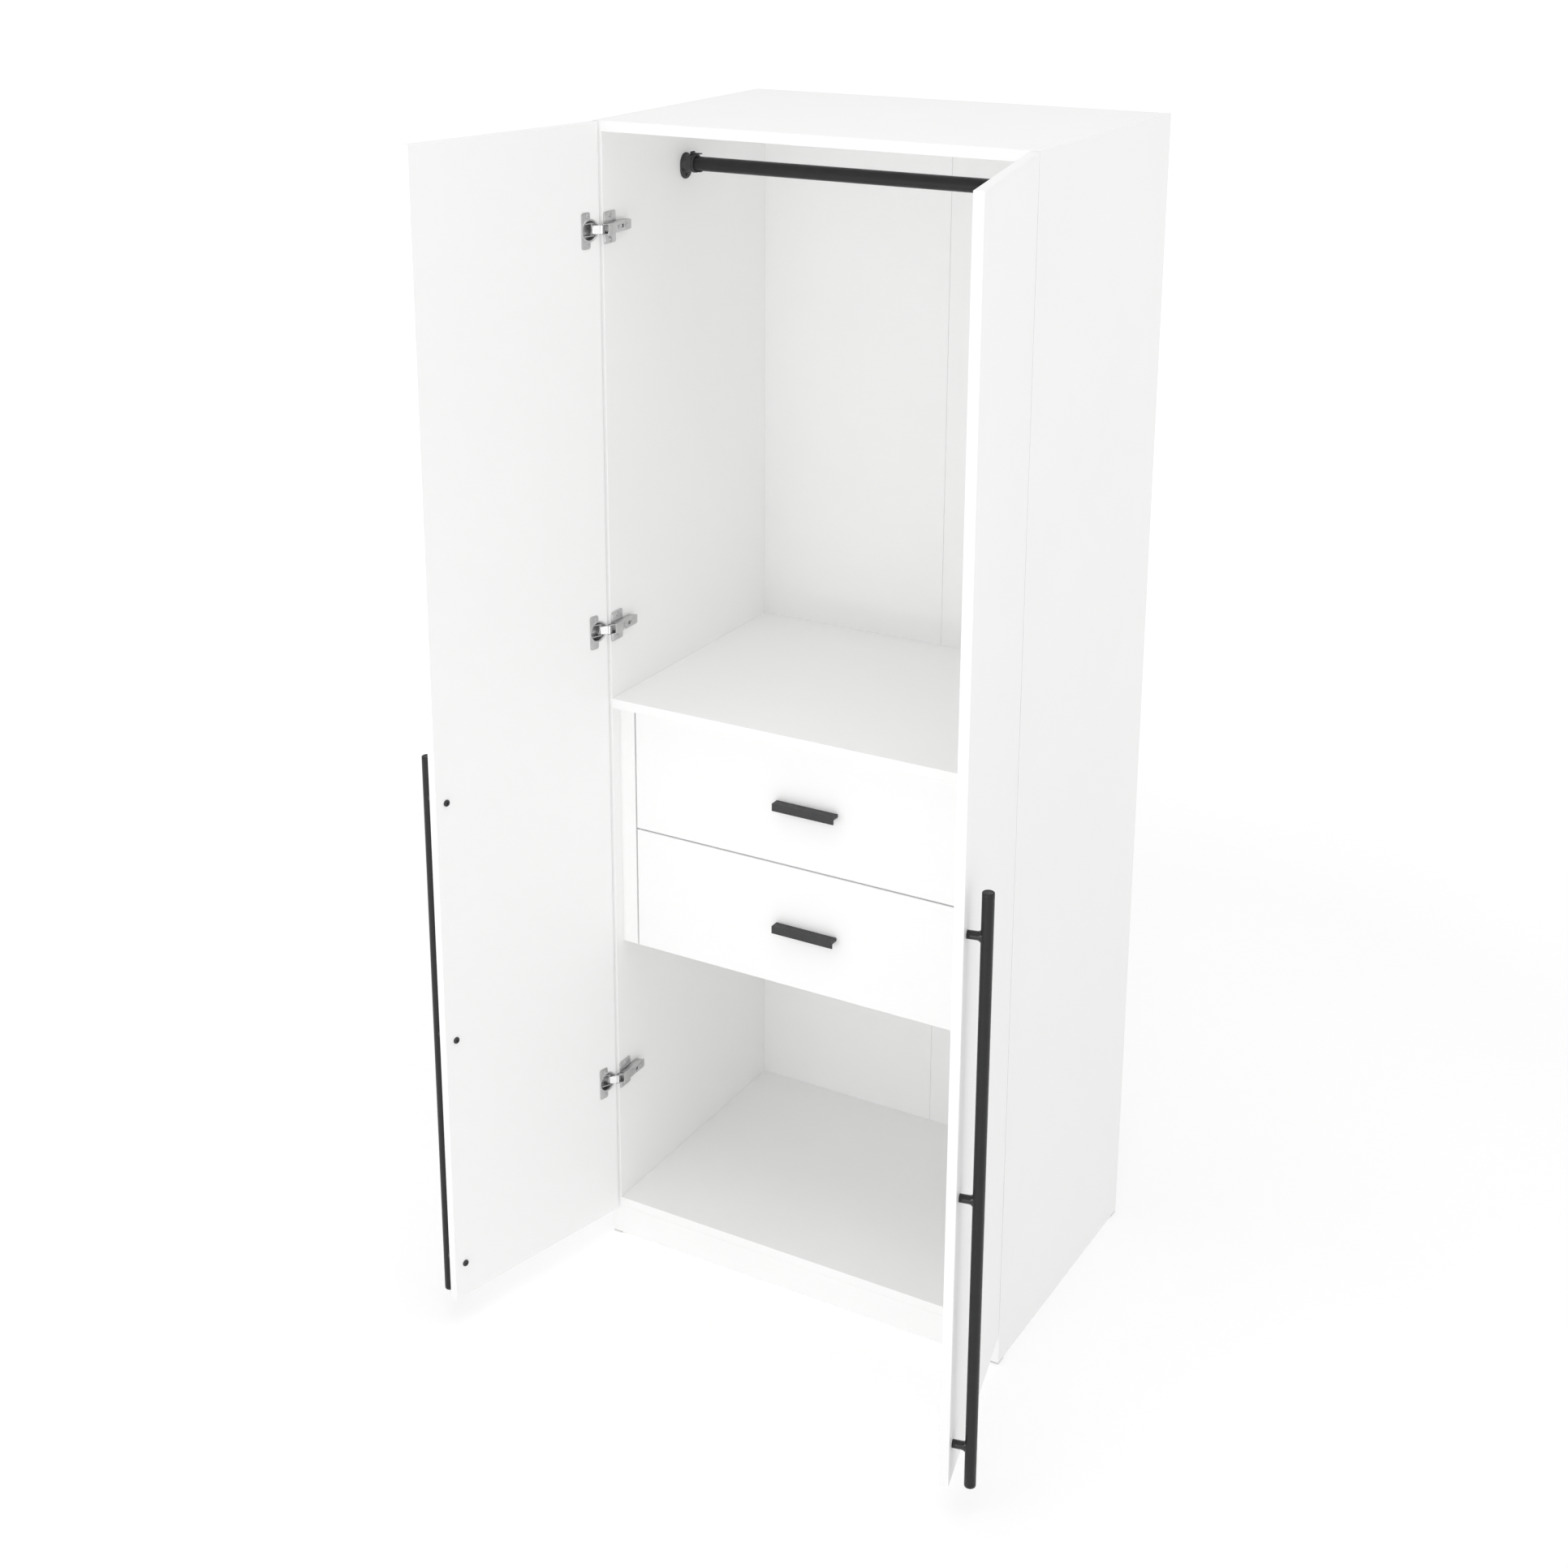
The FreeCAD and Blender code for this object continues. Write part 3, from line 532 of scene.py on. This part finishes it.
class WARDROBE_OT_handle_posts(bpy.types.Operator):
    """Make the posts that stand between the doors and the bars, flared along the bar."""

    bl_idname = "wardrobe.handle_posts"
    bl_label = "Handle posts"

    def execute(self, context):
        made = finishes()
        bar = solids("handle_bar_left", OPEN)[0]
        bar_r, bar_y = (bar[1].x - bar[0].x) / 2, middle(bar).y
        posts = solids("handle_posts_left", OPEN)
        r = context.scene.wardrobe_hardware.post_radius
        reach = posts[0][1].y - bar_y
        face = reach - bar_r
        model = turned([(r - 0.0005, 0.0), (r - 0.0001, 0.0002), (r, 0.0006), (r, face - 0.0060),
                        (r, face - 0.0045, 1.02), (r, face - 0.0031, 1.07), (r, face - 0.0020, 1.15),
                        (r, face - 0.0011, 1.26), (r, face - 0.0004, 1.40), (r, face + 0.0002, 1.55),
                        (r, face + 0.0036, 1.55)])
        for side in SIDES:
            for count, post in enumerate(posts):
                place = at(middle(bar).x, post[1].y, middle(post).z) @ TO_FRONT @ Matrix.Rotation(
                    math.pi / 2, 4, "Z")
                copy_to(model, f"post_{side}_{count}", ON_SIDE[side] @ OPEN @ place, "door_" + side,
                        "black_gloss", ["handle_posts_" + side], made)
        drop(model)
        return {"FINISHED"}


class WARDROBE_OT_handle_bolts(bpy.types.Operator):
    """Make the bolts that hold the posts from the doors' inner faces."""

    bl_idname = "wardrobe.handle_bolts"
    bl_label = "Handle bolts"

    def execute(self, context):
        made = finishes()
        bolts = solids("handle_bolts_left", OPEN)
        inner = solids("door_left", OPEN)[0][1].y
        low, high = bolts[0]
        model = screw((high.x - low.x) / 2, high.y - inner, 0.0024, inner - low.y)
        for side in SIDES:
            for count, bolt in enumerate(bolts):
                spot = middle(bolt)
                place = ON_SIDE[side] @ OPEN @ at(spot.x, inner, spot.z) @ TO_BACK
                copy_to(model, f"bolt_{side}_{count}", place, "door_" + side, "black_screw",
                        ["handle_bolts_" + side], made)
        drop(model)
        return {"FINISHED"}


# ---- drawer pulls ----
class WARDROBE_OT_drawer_pulls(bpy.types.Operator):
    """Make the finger pulls: a flange with a lip that turns down in front."""

    bl_idname = "wardrobe.drawer_pulls"
    bl_label = "Drawer pulls"

    def execute(self, context):
        made = finishes()
        hardware = context.scene.wardrobe_hardware
        low, high = (Vector(c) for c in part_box("drawer_pull_lower"))
        thick, lip = hardware.pull_flange, hardware.pull_lip
        model = block(low.x, high.x, low.y, high.y, high.z - thick, high.z)
        only(model)
        bpy.ops.object.mode_set(mode="EDIT")
        bpy.ops.mesh.select_all(action="SELECT")
        bpy.ops.mesh.bisect(plane_co=(0.0, low.y + lip, 0.0), plane_no=(0.0, 1.0, 0.0))
        bpy.ops.object.mode_set(mode="OBJECT")
        chosen(model, lambda spot, way: way.z < -0.9 and spot.y < low.y + lip)
        bpy.ops.mesh.extrude_region_move(TRANSFORM_OT_translate={"value": (0.0, 0.0, low.z - high.z + thick)})
        bpy.ops.object.mode_set(mode="OBJECT")
        clean(model)
        rounded(model, 0.0006, 4)
        for level in LEVELS:
            node = "drawer_pull_" + level
            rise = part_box(node)[0][2] - low.z
            copy_to(model, "pull_" + level, at(0.0, 0.0, rise), "drawer_" + level, "black_metal",
                    [node], made)
        drop(model)
        return {"FINISHED"}


# ---- hanging rail ----
FLANGE_THICK = 0.003
SOCKET_END = 0.024              # socket's rim from the side panel
LUG_PLACE = 0.015               # lug's eye from the side panel
LUG_HALF = 0.004
EYE_RADIUS = 0.0032
EYE_BORE = 0.0016


class WARDROBE_OT_hanging_rail(bpy.types.Operator):
    """Make the rail tube."""

    bl_idname = "wardrobe.hanging_rail"
    bl_label = "Hanging rail"

    def execute(self, context):
        made = finishes()
        low, high = (Vector(c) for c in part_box("hanging_rail"))
        bpy.ops.object.select_all(action="DESELECT")
        bpy.ops.mesh.primitive_cylinder_add(
            vertices=FINE_ROUND, radius=(high.z - low.z) / 2, depth=high.x - low.x, end_fill_type="NOTHING")
        tube = context.object
        apply(tube, "SOLIDIFY", thickness=context.scene.wardrobe_hardware.rail_wall, offset=-1.0,
              use_even_offset=True)
        clean(tube)
        rounded(tube, 0.0003, 2, 60.0)
        copy_to(tube, "rail_tube", at(*middle((low, high))) @ TO_RIGHT, "carcass", "black_tube",
                ["hanging_rail"], made)
        drop(tube)
        return {"FINISHED"}


class WARDROBE_OT_rail_flanges(bpy.types.Operator):
    """Make the rail's end flanges: long-round plate, ringed socket, lug with an eye, and two tongues."""

    bl_idname = "wardrobe.rail_flanges"
    bl_label = "Rail flanges"

    def execute(self, context):
        made = finishes()
        low, high = (Vector(c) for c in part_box("rail_flange_left"))
        rail = [Vector(c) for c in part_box("hanging_rail")]
        rail_r = (rail[1].z - rail[0].z) / 2
        centre = middle(rail)
        wide = (high.y - low.y) / 2
        drop_by = centre.z - low.z - wide
        thick, socket, lug, half = FLANGE_THICK, SOCKET_END, LUG_PLACE, LUG_HALF
        plate = turned([(wide, 0.0), (wide, thick - 0.0011), (wide - 0.0003, thick - 0.0005),
                        (wide - 0.0009, thick), (wide - 0.003, thick)])
        shift(plate, lambda spot: spot.x > MERGE, (drop_by, 0.0, 0.0))
        ring = rail_r + 0.0027
        bore = rail_r + 0.0003
        collar = turned([(bore + 0.001, thick - 0.0004), (ring + 0.0010, thick - 0.0004),
                         (ring + 0.0010, thick + 0.0012), (ring + 0.0004, thick + 0.0022),
                         (ring, thick + 0.0030), (ring, socket - 0.0062),
                         (ring + 0.0012, socket - 0.0054), (ring + 0.0012, socket - 0.0040),
                         (ring, socket - 0.0034), (ring, socket - 0.0026), (ring + 0.0010, socket - 0.0022),
                         (ring + 0.0010, socket - 0.0004), (ring + 0.0005, socket), (bore + 0.0004, socket),
                         (bore, socket - 0.0004), (bore, thick + 0.0002)], FINE_ROUND)
        top = ring + 0.0026
        eye = turned([(EYE_RADIUS, 0.0), (EYE_RADIUS, 2 * half - 0.0005), (EYE_RADIUS - 0.0004, 2 * half),
                      (EYE_BORE, 2 * half), (EYE_BORE, 0.0006)], SMALL_ROUND)
        settle(eye, at(-top, half, lug) @ TO_FRONT)
        foot = block(-top, -ring + 0.001, -half, half, lug - 0.0030, lug + 0.0030)
        rounded(foot, 0.0006)
        pieces = [plate, collar, eye, foot]
        for side_x, start in ((-ring - 0.0030, lug), (rail_r + 0.0004, socket - 0.001)):
            tongue = block(side_x, side_x + 0.0018, -half, half, start, socket + 0.0088)
            rounded(tongue, 0.0007)
            pieces.append(tongue)
        model = joined(pieces)
        # +Z of the model runs along the rail, and its -X is up.
        lay = Matrix(((0, 0, 1, 0), (0, 1, 0, 0), (-1, 0, 0, 0), (0, 0, 0, 1)))
        for side in SIDES:
            node = "rail_flange_" + side
            copy_to(model, "rail_flange_end_" + side, ON_SIDE[side] @ at(low.x, centre.y, centre.z) @ lay,
                    "carcass", "black_metal", [node], made)
        drop(model)
        return {"FINISHED"}


# ---- hinges ----
CUP_RADIUS = 0.0175
CUP_RIM = 0.0018                # ring beyond the well
CUP_WING = 0.010                # half the wing plate's width
CRADLE_FLOOR = -0.0114
ADJUST_HEAD = 0.0034            # head radius of the adjusting screws
ADJUST_RISE = 0.0013
WOOD_HEAD = 0.0036
WOOD_RISE = 0.0015
CUP_SCREW_RISE = 0.0012
ROW_GAP = 0.004                 # gap in height that parts two rows of screws


class WARDROBE_OT_hinge_cups(bpy.types.Operator):
    """Make the hinge cups: wing plate, ringed well, and the cradle inside."""

    bl_idname = "wardrobe.hinge_cups"
    bl_label = "Hinge cups"

    def execute(self, context):
        made = finishes()
        cups = solids("hinge_cups_left", OPEN)
        inner = solids("door_left", OPEN)[0][1].y
        low, high = cups[0]
        skin = high.y - inner
        r, rim, wing = CUP_RADIUS, CUP_RIM, CUP_WING
        wing_x = high.x - wing - (low.x + r + rim)
        half_h = (high.z - low.z) / 2
        # The model lies with the door's inner face at nought and +Z out of the door.
        plate = block(wing_x - wing, wing_x + wing, -half_h, half_h, 0.0, skin)
        round_corners(plate, 2, 0.0045)
        rounded(plate, 0.00035, 2, 60.0)
        cut(plate, turned([(r - 0.0008, -0.004), (r - 0.0008, 0.006)]))
        well = turned([(0.002, -0.0125), (r - 0.0010, -0.0125), (r, -0.0115), (r, 0.0), (r + rim, 0.0),
                       (r + rim, 0.0010), (r + 0.0013, 0.0015), (r - 0.0002, 0.0016), (r - 0.0008, 0.0012),
                       (r - 0.0012, 0.0004), (r - 0.0012, -0.0105), (r - 0.0022, -0.0115),
                       (0.002, -0.0115)], FINE_ROUND)
        cradle = []
        for way in (-1.0, 1.0):
            y0, y1 = sorted((way * 0.0098, way * 0.0112))
            cheek = block(-0.0105, 0.0110, y0, y1, CRADLE_FLOOR, -0.0010)
            chosen(cheek, lambda spot, normal: normal.x > 0.9)
            bpy.ops.transform.resize(value=(1.0, 1.0, 0.45), center_override=(0.0, 0.0, CRADLE_FLOOR))
            bpy.ops.object.mode_set(mode="OBJECT")
            rounded(cheek, 0.0003, 2)
            cradle.append(cheek)
        model = joined([plate, well, *cradle])
        for side in SIDES:
            for count, cup in enumerate(cups):
                spot = middle(cup)
                place = ON_SIDE[side] @ OPEN @ at(low.x + r + rim, inner, spot.z) @ TO_BACK
                copy_to(model, f"hinge_cup_{side}_{count}", place, "door_" + side, "nickel_steel",
                        ["hinge_cups_" + side], made)
        drop(model)
        return {"FINISHED"}


class WARDROBE_OT_hinge_links(bpy.types.Operator):
    """Make the bright links between the hinge arms and the cups."""

    bl_idname = "wardrobe.hinge_links"
    bl_label = "Hinge links"

    def execute(self, context):
        made = finishes()
        hardware = context.scene.wardrobe_hardware
        links = solids("hinge_links_left")
        half = (links[0][1].z - links[0][0].z) / 2
        reach = hardware.link_length
        blade = block(0.0, reach, -0.0012, 0.0012, -half, half)
        only(blade)
        bpy.ops.object.mode_set(mode="EDIT")
        bpy.ops.mesh.select_all(action="SELECT")
        bpy.ops.mesh.bisect(plane_co=(0.62 * reach, 0.0, 0.0), plane_no=(1.0, 0.0, 0.0))
        bpy.ops.object.mode_set(mode="OBJECT")
        chosen(blade, lambda spot, normal: normal.x > 0.9)
        bpy.ops.transform.resize(value=(1.0, 1.0, 0.90), center_override=(reach, 0.0, 0.0))
        bpy.ops.object.mode_set(mode="OBJECT")
        clean(blade)
        rounded(blade, 0.0007, 4, 30.0)
        barrel = turned([(0.0024, -half), (0.0027, 0.0003 - half), (0.0027, half - 0.0003),
                         (0.0024, half)], SMALL_ROUND)
        model = joined([blade, barrel])
        turn = Matrix.Rotation(hardware.link_turn, 4, "Z")
        for side in SIDES:
            for count, link in enumerate(links):
                place = ON_SIDE[side] @ at(PIN.x, PIN.y, middle(link).z) @ turn
                copy_to(model, f"hinge_link_{side}_{count}", place, "hinge_links_" + side, "bright_nickel",
                        ["hinge_links_" + side], made)
        drop(model)
        return {"FINISHED"}


class WARDROBE_OT_hinge_plates(bpy.types.Operator):
    """Make the cross plates on the side panels: wings, rolled front edges, screw rings and saddle."""

    bl_idname = "wardrobe.hinge_plates"
    bl_label = "Hinge plates"

    def execute(self, context):
        made = finishes()
        hardware = context.scene.wardrobe_hardware
        plates = solids("hinge_plates_left")
        screws = solids("hinge_plate_screws", None, ROW_GAP, lambda point: point.x < 0)
        low, high = plates[0]
        half, deep = (high.z - low.z) / 2, hardware.plate_depth
        skin, saddle = 0.002, high.x - low.x
        first = middle(plates[0])
        # The model lies on the side panel, +X out of it.
        wings = block(0.0, skin, 0.0, deep, -half, half)
        round_corners(wings, 0, 0.004)
        rounded(wings, 0.0004, 2, 60.0)
        parts = [wings, block(skin, saddle, 0.002, high.y - low.y, -0.0067, 0.0067)]
        rounded(parts[1], 0.0008, 2)
        screw_up = middle(screws[2]).z - first.z
        screw_y = middle(screws[2]).y - low.y
        for way in (-1.0, 1.0):
            z0, z1 = sorted((way * 0.0115, way * (half - 0.0035)))
            lip = block(skin - 0.0004, skin + 0.0014, 0.0004, 0.0040, z0, z1)
            rounded(lip, 0.0008, 4)
            z0, z1 = sorted((way * 0.0105, way * 0.0125))
            rib = block(skin - 0.0004, skin + 0.0008, 0.006, deep - 0.003, z0, z1)
            rounded(rib, 0.0004, 2)
            ring = turned([(0.0052, skin - 0.0004), (0.0052, skin + 0.0003), (0.0049, skin + 0.0007),
                           (0.0044, skin + 0.0007), (0.0042, skin + 0.0004), (0.0042, skin - 0.0004)],
                          SMALL_ROUND)
            settle(ring, at(0.0, screw_y, way * screw_up) @ TO_RIGHT)
            parts += [lip, rib, ring]
        model = joined(parts)
        for side in SIDES:
            for count, plate in enumerate(plates):
                place = ON_SIDE[side] @ at(low.x, low.y, middle(plate).z)
                copy_to(model, f"hinge_plate_{side}_{count}", place, "carcass", "nickel_steel",
                        ["hinge_plates_" + side], made)
        drop(model)
        return {"FINISHED"}


class WARDROBE_OT_hinge_arms(bpy.types.Operator):
    """Make the hinge arms: a folded channel with ears, rivets, a slot and two screw holes."""

    bl_idname = "wardrobe.hinge_arms"
    bl_label = "Hinge arms"

    def execute(self, context):
        made = finishes()
        arms = solids("hinge_arms_left")
        screws = solids("hinge_plate_screws", None, ROW_GAP, lambda point: point.x < 0)
        low, high = arms[0]
        half, skin, sunk = (high.z - low.z) / 2, 0.0014, 0.0025
        panel = solids("side_panel_left")[0][1].x
        top, rear, nose = high.x - panel, high.y, PIN.y + 0.0080
        px, py = PIN.x - panel, PIN.y
        cover = block(top - skin, top, nose, rear, -half, half)
        shift(cover, lambda spot: spot.y > rear - MERGE and spot.z > 0, (0.0, 0.0, -0.0012))
        shift(cover, lambda spot: spot.y > rear - MERGE and spot.z < 0, (0.0, 0.0, 0.0012))
        rounded(cover, 0.0005, 3, 50.0)
        parts = [cover]
        for way in (-1.0, 1.0):
            z0, z1 = sorted((way * half, way * (half - skin)))
            wall = block(sunk, top - 0.0002, nose, rear - 0.004, z0, z1)
            shift(wall, lambda spot: spot.x < 0.5 * top and spot.y > 0.5 * (nose + rear), (0.0, -0.006, 0.0))
            rounded(wall, 0.0003, 2)
            cheek = block(px - 0.0028, top - 0.0004, py, nose + 0.003, z0, z1)
            shift(cheek, lambda spot: spot.y < py + MERGE and spot.x > px, (px + 0.0032 - top, 0.0, 0.0))
            rounded(cheek, 0.0003, 2)
            ear = turned([(0.0026, 0.0), (0.0030, 0.0002), (0.0030, skin - 0.0002), (0.0026, skin)],
                         SMALL_ROUND)
            settle(ear, at(px, py, z0))
            parts += [wall, cheek, ear]
        # Folded ribs along both edges of the cover.
        for way in (-1.0, 1.0):
            z0, z1 = sorted((way * 0.0062, way * 0.0074))
            rib = block(top - 0.0003, top + 0.0004, nose + 0.010, rear - 0.008, z0, z1)
            rounded(rib, 0.0002, 2)
            parts.append(rib)
        model = joined(parts)
        hole_y = (screws[1][0].y + ADJUST_HEAD, screws[1][1].y - ADJUST_HEAD)
        for y in hole_y:
            hole = turned([(0.0041, 0.0), (0.0041, 0.006)], SMALL_ROUND)
            settle(hole, at(top - 0.0008, y, 0.0) @ TO_RIGHT)
            cut(model, hole)
        slot_y = sum(hole_y) / 2
        slot = 0.0030
        cut(model, block(top - 0.004, top + 0.002, slot_y - slot, slot_y + slot, -slot, slot))
        for side in SIDES:
            for count, arm in enumerate(arms):
                place = ON_SIDE[side] @ at(panel, 0.0, middle(arm).z)
                copy_to(model, f"hinge_arm_{side}_{count}", place, "carcass", "nickel_steel",
                        ["hinge_arms_" + side], made)
        drop(model)
        return {"FINISHED"}


class WARDROBE_OT_plate_screws(bpy.types.Operator):
    """Make the wood screws in the hinge plates and the adjusting screws in the arms."""

    bl_idname = "wardrobe.plate_screws"
    bl_label = "Hinge plate screws"

    def execute(self, context):
        made = finishes()
        rows = solids("hinge_plate_screws", None, ROW_GAP, lambda point: point.x < 0)
        panel = solids("side_panel_left")[0][1].x
        wood = screw(WOOD_HEAD, WOOD_RISE, 0.0019, rows[0][1].x - panel - WOOD_RISE)
        adjust = screw(ADJUST_HEAD, ADJUST_RISE, 0.0020, 0.0055)
        for side in SIDES:
            for count, (low, high) in enumerate(rows):
                level = count // 3
                if count % 3 == 1:
                    spots = [(low.y + ADJUST_HEAD, adjust, ADJUST_RISE),
                             (high.y - ADJUST_HEAD, adjust, ADJUST_RISE)]
                else:
                    spots = [((low.y + high.y) / 2, wood, WOOD_RISE)]
                for step, (y, model, rise) in enumerate(spots):
                    # No two slots stand at the same angle.
                    turn = Matrix.Rotation(0.5 + 0.9 * count + step, 4, "Z")
                    place = ON_SIDE[side] @ at(high.x - rise, y, (low.z + high.z) / 2) @ TO_RIGHT @ turn
                    copy_to(model, f"plate_screw_{side}_{level}_{count % 3}_{step}", place, "carcass",
                            "zinc_screw", ["hinge_plate_screws"], made)
        drop(wood)
        drop(adjust)
        return {"FINISHED"}


class WARDROBE_OT_cup_screws(bpy.types.Operator):
    """Make the two screws in each hinge cup's wings."""

    bl_idname = "wardrobe.cup_screws"
    bl_label = "Cup screws"

    def execute(self, context):
        made = finishes()
        screws = solids("cup_screws_left", OPEN)
        low, high = screws[0]
        model = screw((high.x - low.x) / 2, CUP_SCREW_RISE, 0.0019, high.y - low.y - CUP_SCREW_RISE)
        for side in SIDES:
            for count, spot in enumerate(middle(s) for s in screws):
                place = ON_SIDE[side] @ OPEN @ at(spot.x, high.y - CUP_SCREW_RISE, spot.z) @ TO_BACK
                copy_to(model, f"cup_screw_{side}_{count}", place @ Matrix.Rotation(0.6 + count, 4, "Z"),
                        "door_" + side, "zinc_screw", ["cup_screws_" + side], made)
        drop(model)
        return {"FINISHED"}


# ---- stage ----
CAMERA_PLACE = (1.7725, -3.7589, 2.5690)
CAMERA_TURN = -31.04            # degrees from straight at the wardrobe's front
CAMERA_TILT = -16.75
CAMERA_ROLL = -0.28
CAMERA_SHIFT = (0.0418, -0.1646)
SENSOR = 36.0
FLOOR_SIZE = 120.0
FAR_GLOW = 2.2                  # floor's glow far out, as a share of the glow near the wardrobe
GLOW_REACH = (1.5, 5.0)         # distances between which the glow grows
MIDDLE = Vector((0.0, -0.35, 1.0))
# Name, place, width and height of each light.
LIGHTS = (
    ("overhead", (0.3, -1.2, 5.2), 3.0, 3.0),
    ("left", (-4.6, -1.6, 1.8), 3.0, 3.0),
    ("right", (2.3, -4.8, 3.4), 2.4, 2.4),
    ("low", (0.4, -4.6, 0.7), 3.5, 1.2),
    ("strip", (-1.0, -5.2, 0.65), 1.6, 0.1),
)


def look(turn, tilt, roll):
    """Turn of a camera that looks along a heading and a tilt, in degrees."""
    a, e = math.radians(turn), math.radians(tilt)
    ahead = Vector((math.sin(a) * math.cos(e), math.cos(a) * math.cos(e), math.sin(e)))
    right = ahead.cross(UP).normalized()
    over = right.cross(ahead)
    basis = Matrix((right, over, -ahead)).transposed()
    return basis @ Matrix.Rotation(math.radians(roll), 3, "Z")


def soft_light(name, place, width, height, energy):
    """An area light that faces the middle of the wardrobe."""
    bpy.ops.object.light_add(type="AREA", location=place)
    lamp = bpy.context.object
    lamp.name = name
    lamp.data.shape = "RECTANGLE"
    lamp.data.size = width
    lamp.data.size_y = height
    lamp.data.energy = energy
    lamp.rotation_euler = (MIDDLE - Vector(place)).to_track_quat("-Z", "Y").to_euler()
    return lamp


class WARDROBE_OT_stage(bpy.types.Operator):
    """Lay the pale floor and set the lights and the camera."""

    bl_idname = "wardrobe.stage"
    bl_label = "Set the stage"

    def execute(self, context):
        scene = context.scene
        settings = scene.wardrobe_stage
        bpy.ops.object.select_all(action="DESELECT")
        bpy.ops.mesh.primitive_plane_add(size=FLOOR_SIZE, location=(0.0, 0.0, -0.0005))
        floor = context.object
        floor.name = "floor"
        t = Tree("pale_floor")
        patches = t.noise(t.place((1.0, 1.0, 1.0)), 1.2, 3.0)
        t.join(t.mix(t.ramp(patches, 0.0, 1.0), shade(settings.floor, 0.99), settings.floor),
               t.shader.inputs["Base Color"])
        t.shader.inputs["Roughness"].default_value = 0.9
        t.shader.inputs["Specular IOR Level"].default_value = 0.1
        t.shader.inputs["Emission Color"].default_value = (1.0, 1.0, 1.0, 1.0)
        away = t.add("ShaderNodeVectorMath", operation="LENGTH")
        t.join(t.place((1.0, 1.0, 1.0)), away.inputs[0])
        near, far = settings.floor_glow, FAR_GLOW * settings.floor_glow
        t.join(t.ramp(away.outputs["Value"], near, far, *GLOW_REACH), t.shader.inputs["Emission Strength"])
        paint(floor, t.material)

        world = bpy.data.worlds.new("soft_surround")
        world.use_nodes = True
        background = world.node_tree.nodes["Background"]
        background.inputs["Color"].default_value = (1.0, 1.0, 1.0, 1.0)
        background.inputs["Strength"].default_value = settings.sky
        scene.world = world
        for name, place, width, height in LIGHTS:
            soft_light(name, place, width, height, getattr(settings, name))

        bpy.ops.object.camera_add(location=CAMERA_PLACE)
        camera = context.object
        camera.name = "camera"
        camera.rotation_euler = look(CAMERA_TURN, CAMERA_TILT, CAMERA_ROLL).to_euler()
        camera.data.sensor_width = SENSOR
        camera.data.lens = settings.lens
        camera.data.shift_x, camera.data.shift_y = CAMERA_SHIFT
        camera.data.clip_end = 200.0
        scene.camera = camera
        scene.view_settings.view_transform = "Standard"
        scene.cycles.diffuse_bounces = 10
        return {"FINISHED"}


# ---- panel and registration ----
STEPS = (
    WARDROBE_OT_finish_nodes, WARDROBE_OT_handle_bars, WARDROBE_OT_handle_posts, WARDROBE_OT_handle_bolts,
    WARDROBE_OT_drawer_pulls, WARDROBE_OT_hanging_rail, WARDROBE_OT_rail_flanges, WARDROBE_OT_hinge_cups,
    WARDROBE_OT_hinge_links, WARDROBE_OT_hinge_plates, WARDROBE_OT_hinge_arms, WARDROBE_OT_plate_screws,
    WARDROBE_OT_cup_screws, WARDROBE_OT_stage)
GROUPS = ("wardrobe_finishes", "wardrobe_hardware", "wardrobe_stage")


class WARDROBE_PT_panel(bpy.types.Panel):
    """Steps and settings of the wardrobe."""

    bl_idname = "WARDROBE_PT_panel"
    bl_label = "Wardrobe"
    bl_space_type = "VIEW_3D"
    bl_region_type = "UI"
    bl_category = "Wardrobe"

    def draw(self, context):
        for step in STEPS:
            self.layout.operator(step.bl_idname)
        for key in GROUPS:
            group = getattr(context.scene, key)
            box = self.layout.box()
            for name in group.__annotations__:
                box.prop(group, name)


SETTINGS = (WardrobeFinishes, WardrobeHardware, WardrobeStage)
CLASSES = (*SETTINGS, *STEPS, WARDROBE_PT_panel)


def register():
    for cls in CLASSES:
        bpy.utils.register_class(cls)
    for key, group in zip(GROUPS, SETTINGS):
        setattr(bpy.types.Scene, key, bpy.props.PointerProperty(type=group))


def unregister():
    for key in GROUPS:
        delattr(bpy.types.Scene, key)
    for cls in reversed(CLASSES):
        bpy.utils.unregister_class(cls)


def main():
    register()
    for step in STEPS:
        group, name = step.bl_idname.split(".")
        getattr(getattr(bpy.ops, group), name)()


if __name__ == "__main__":
    main()
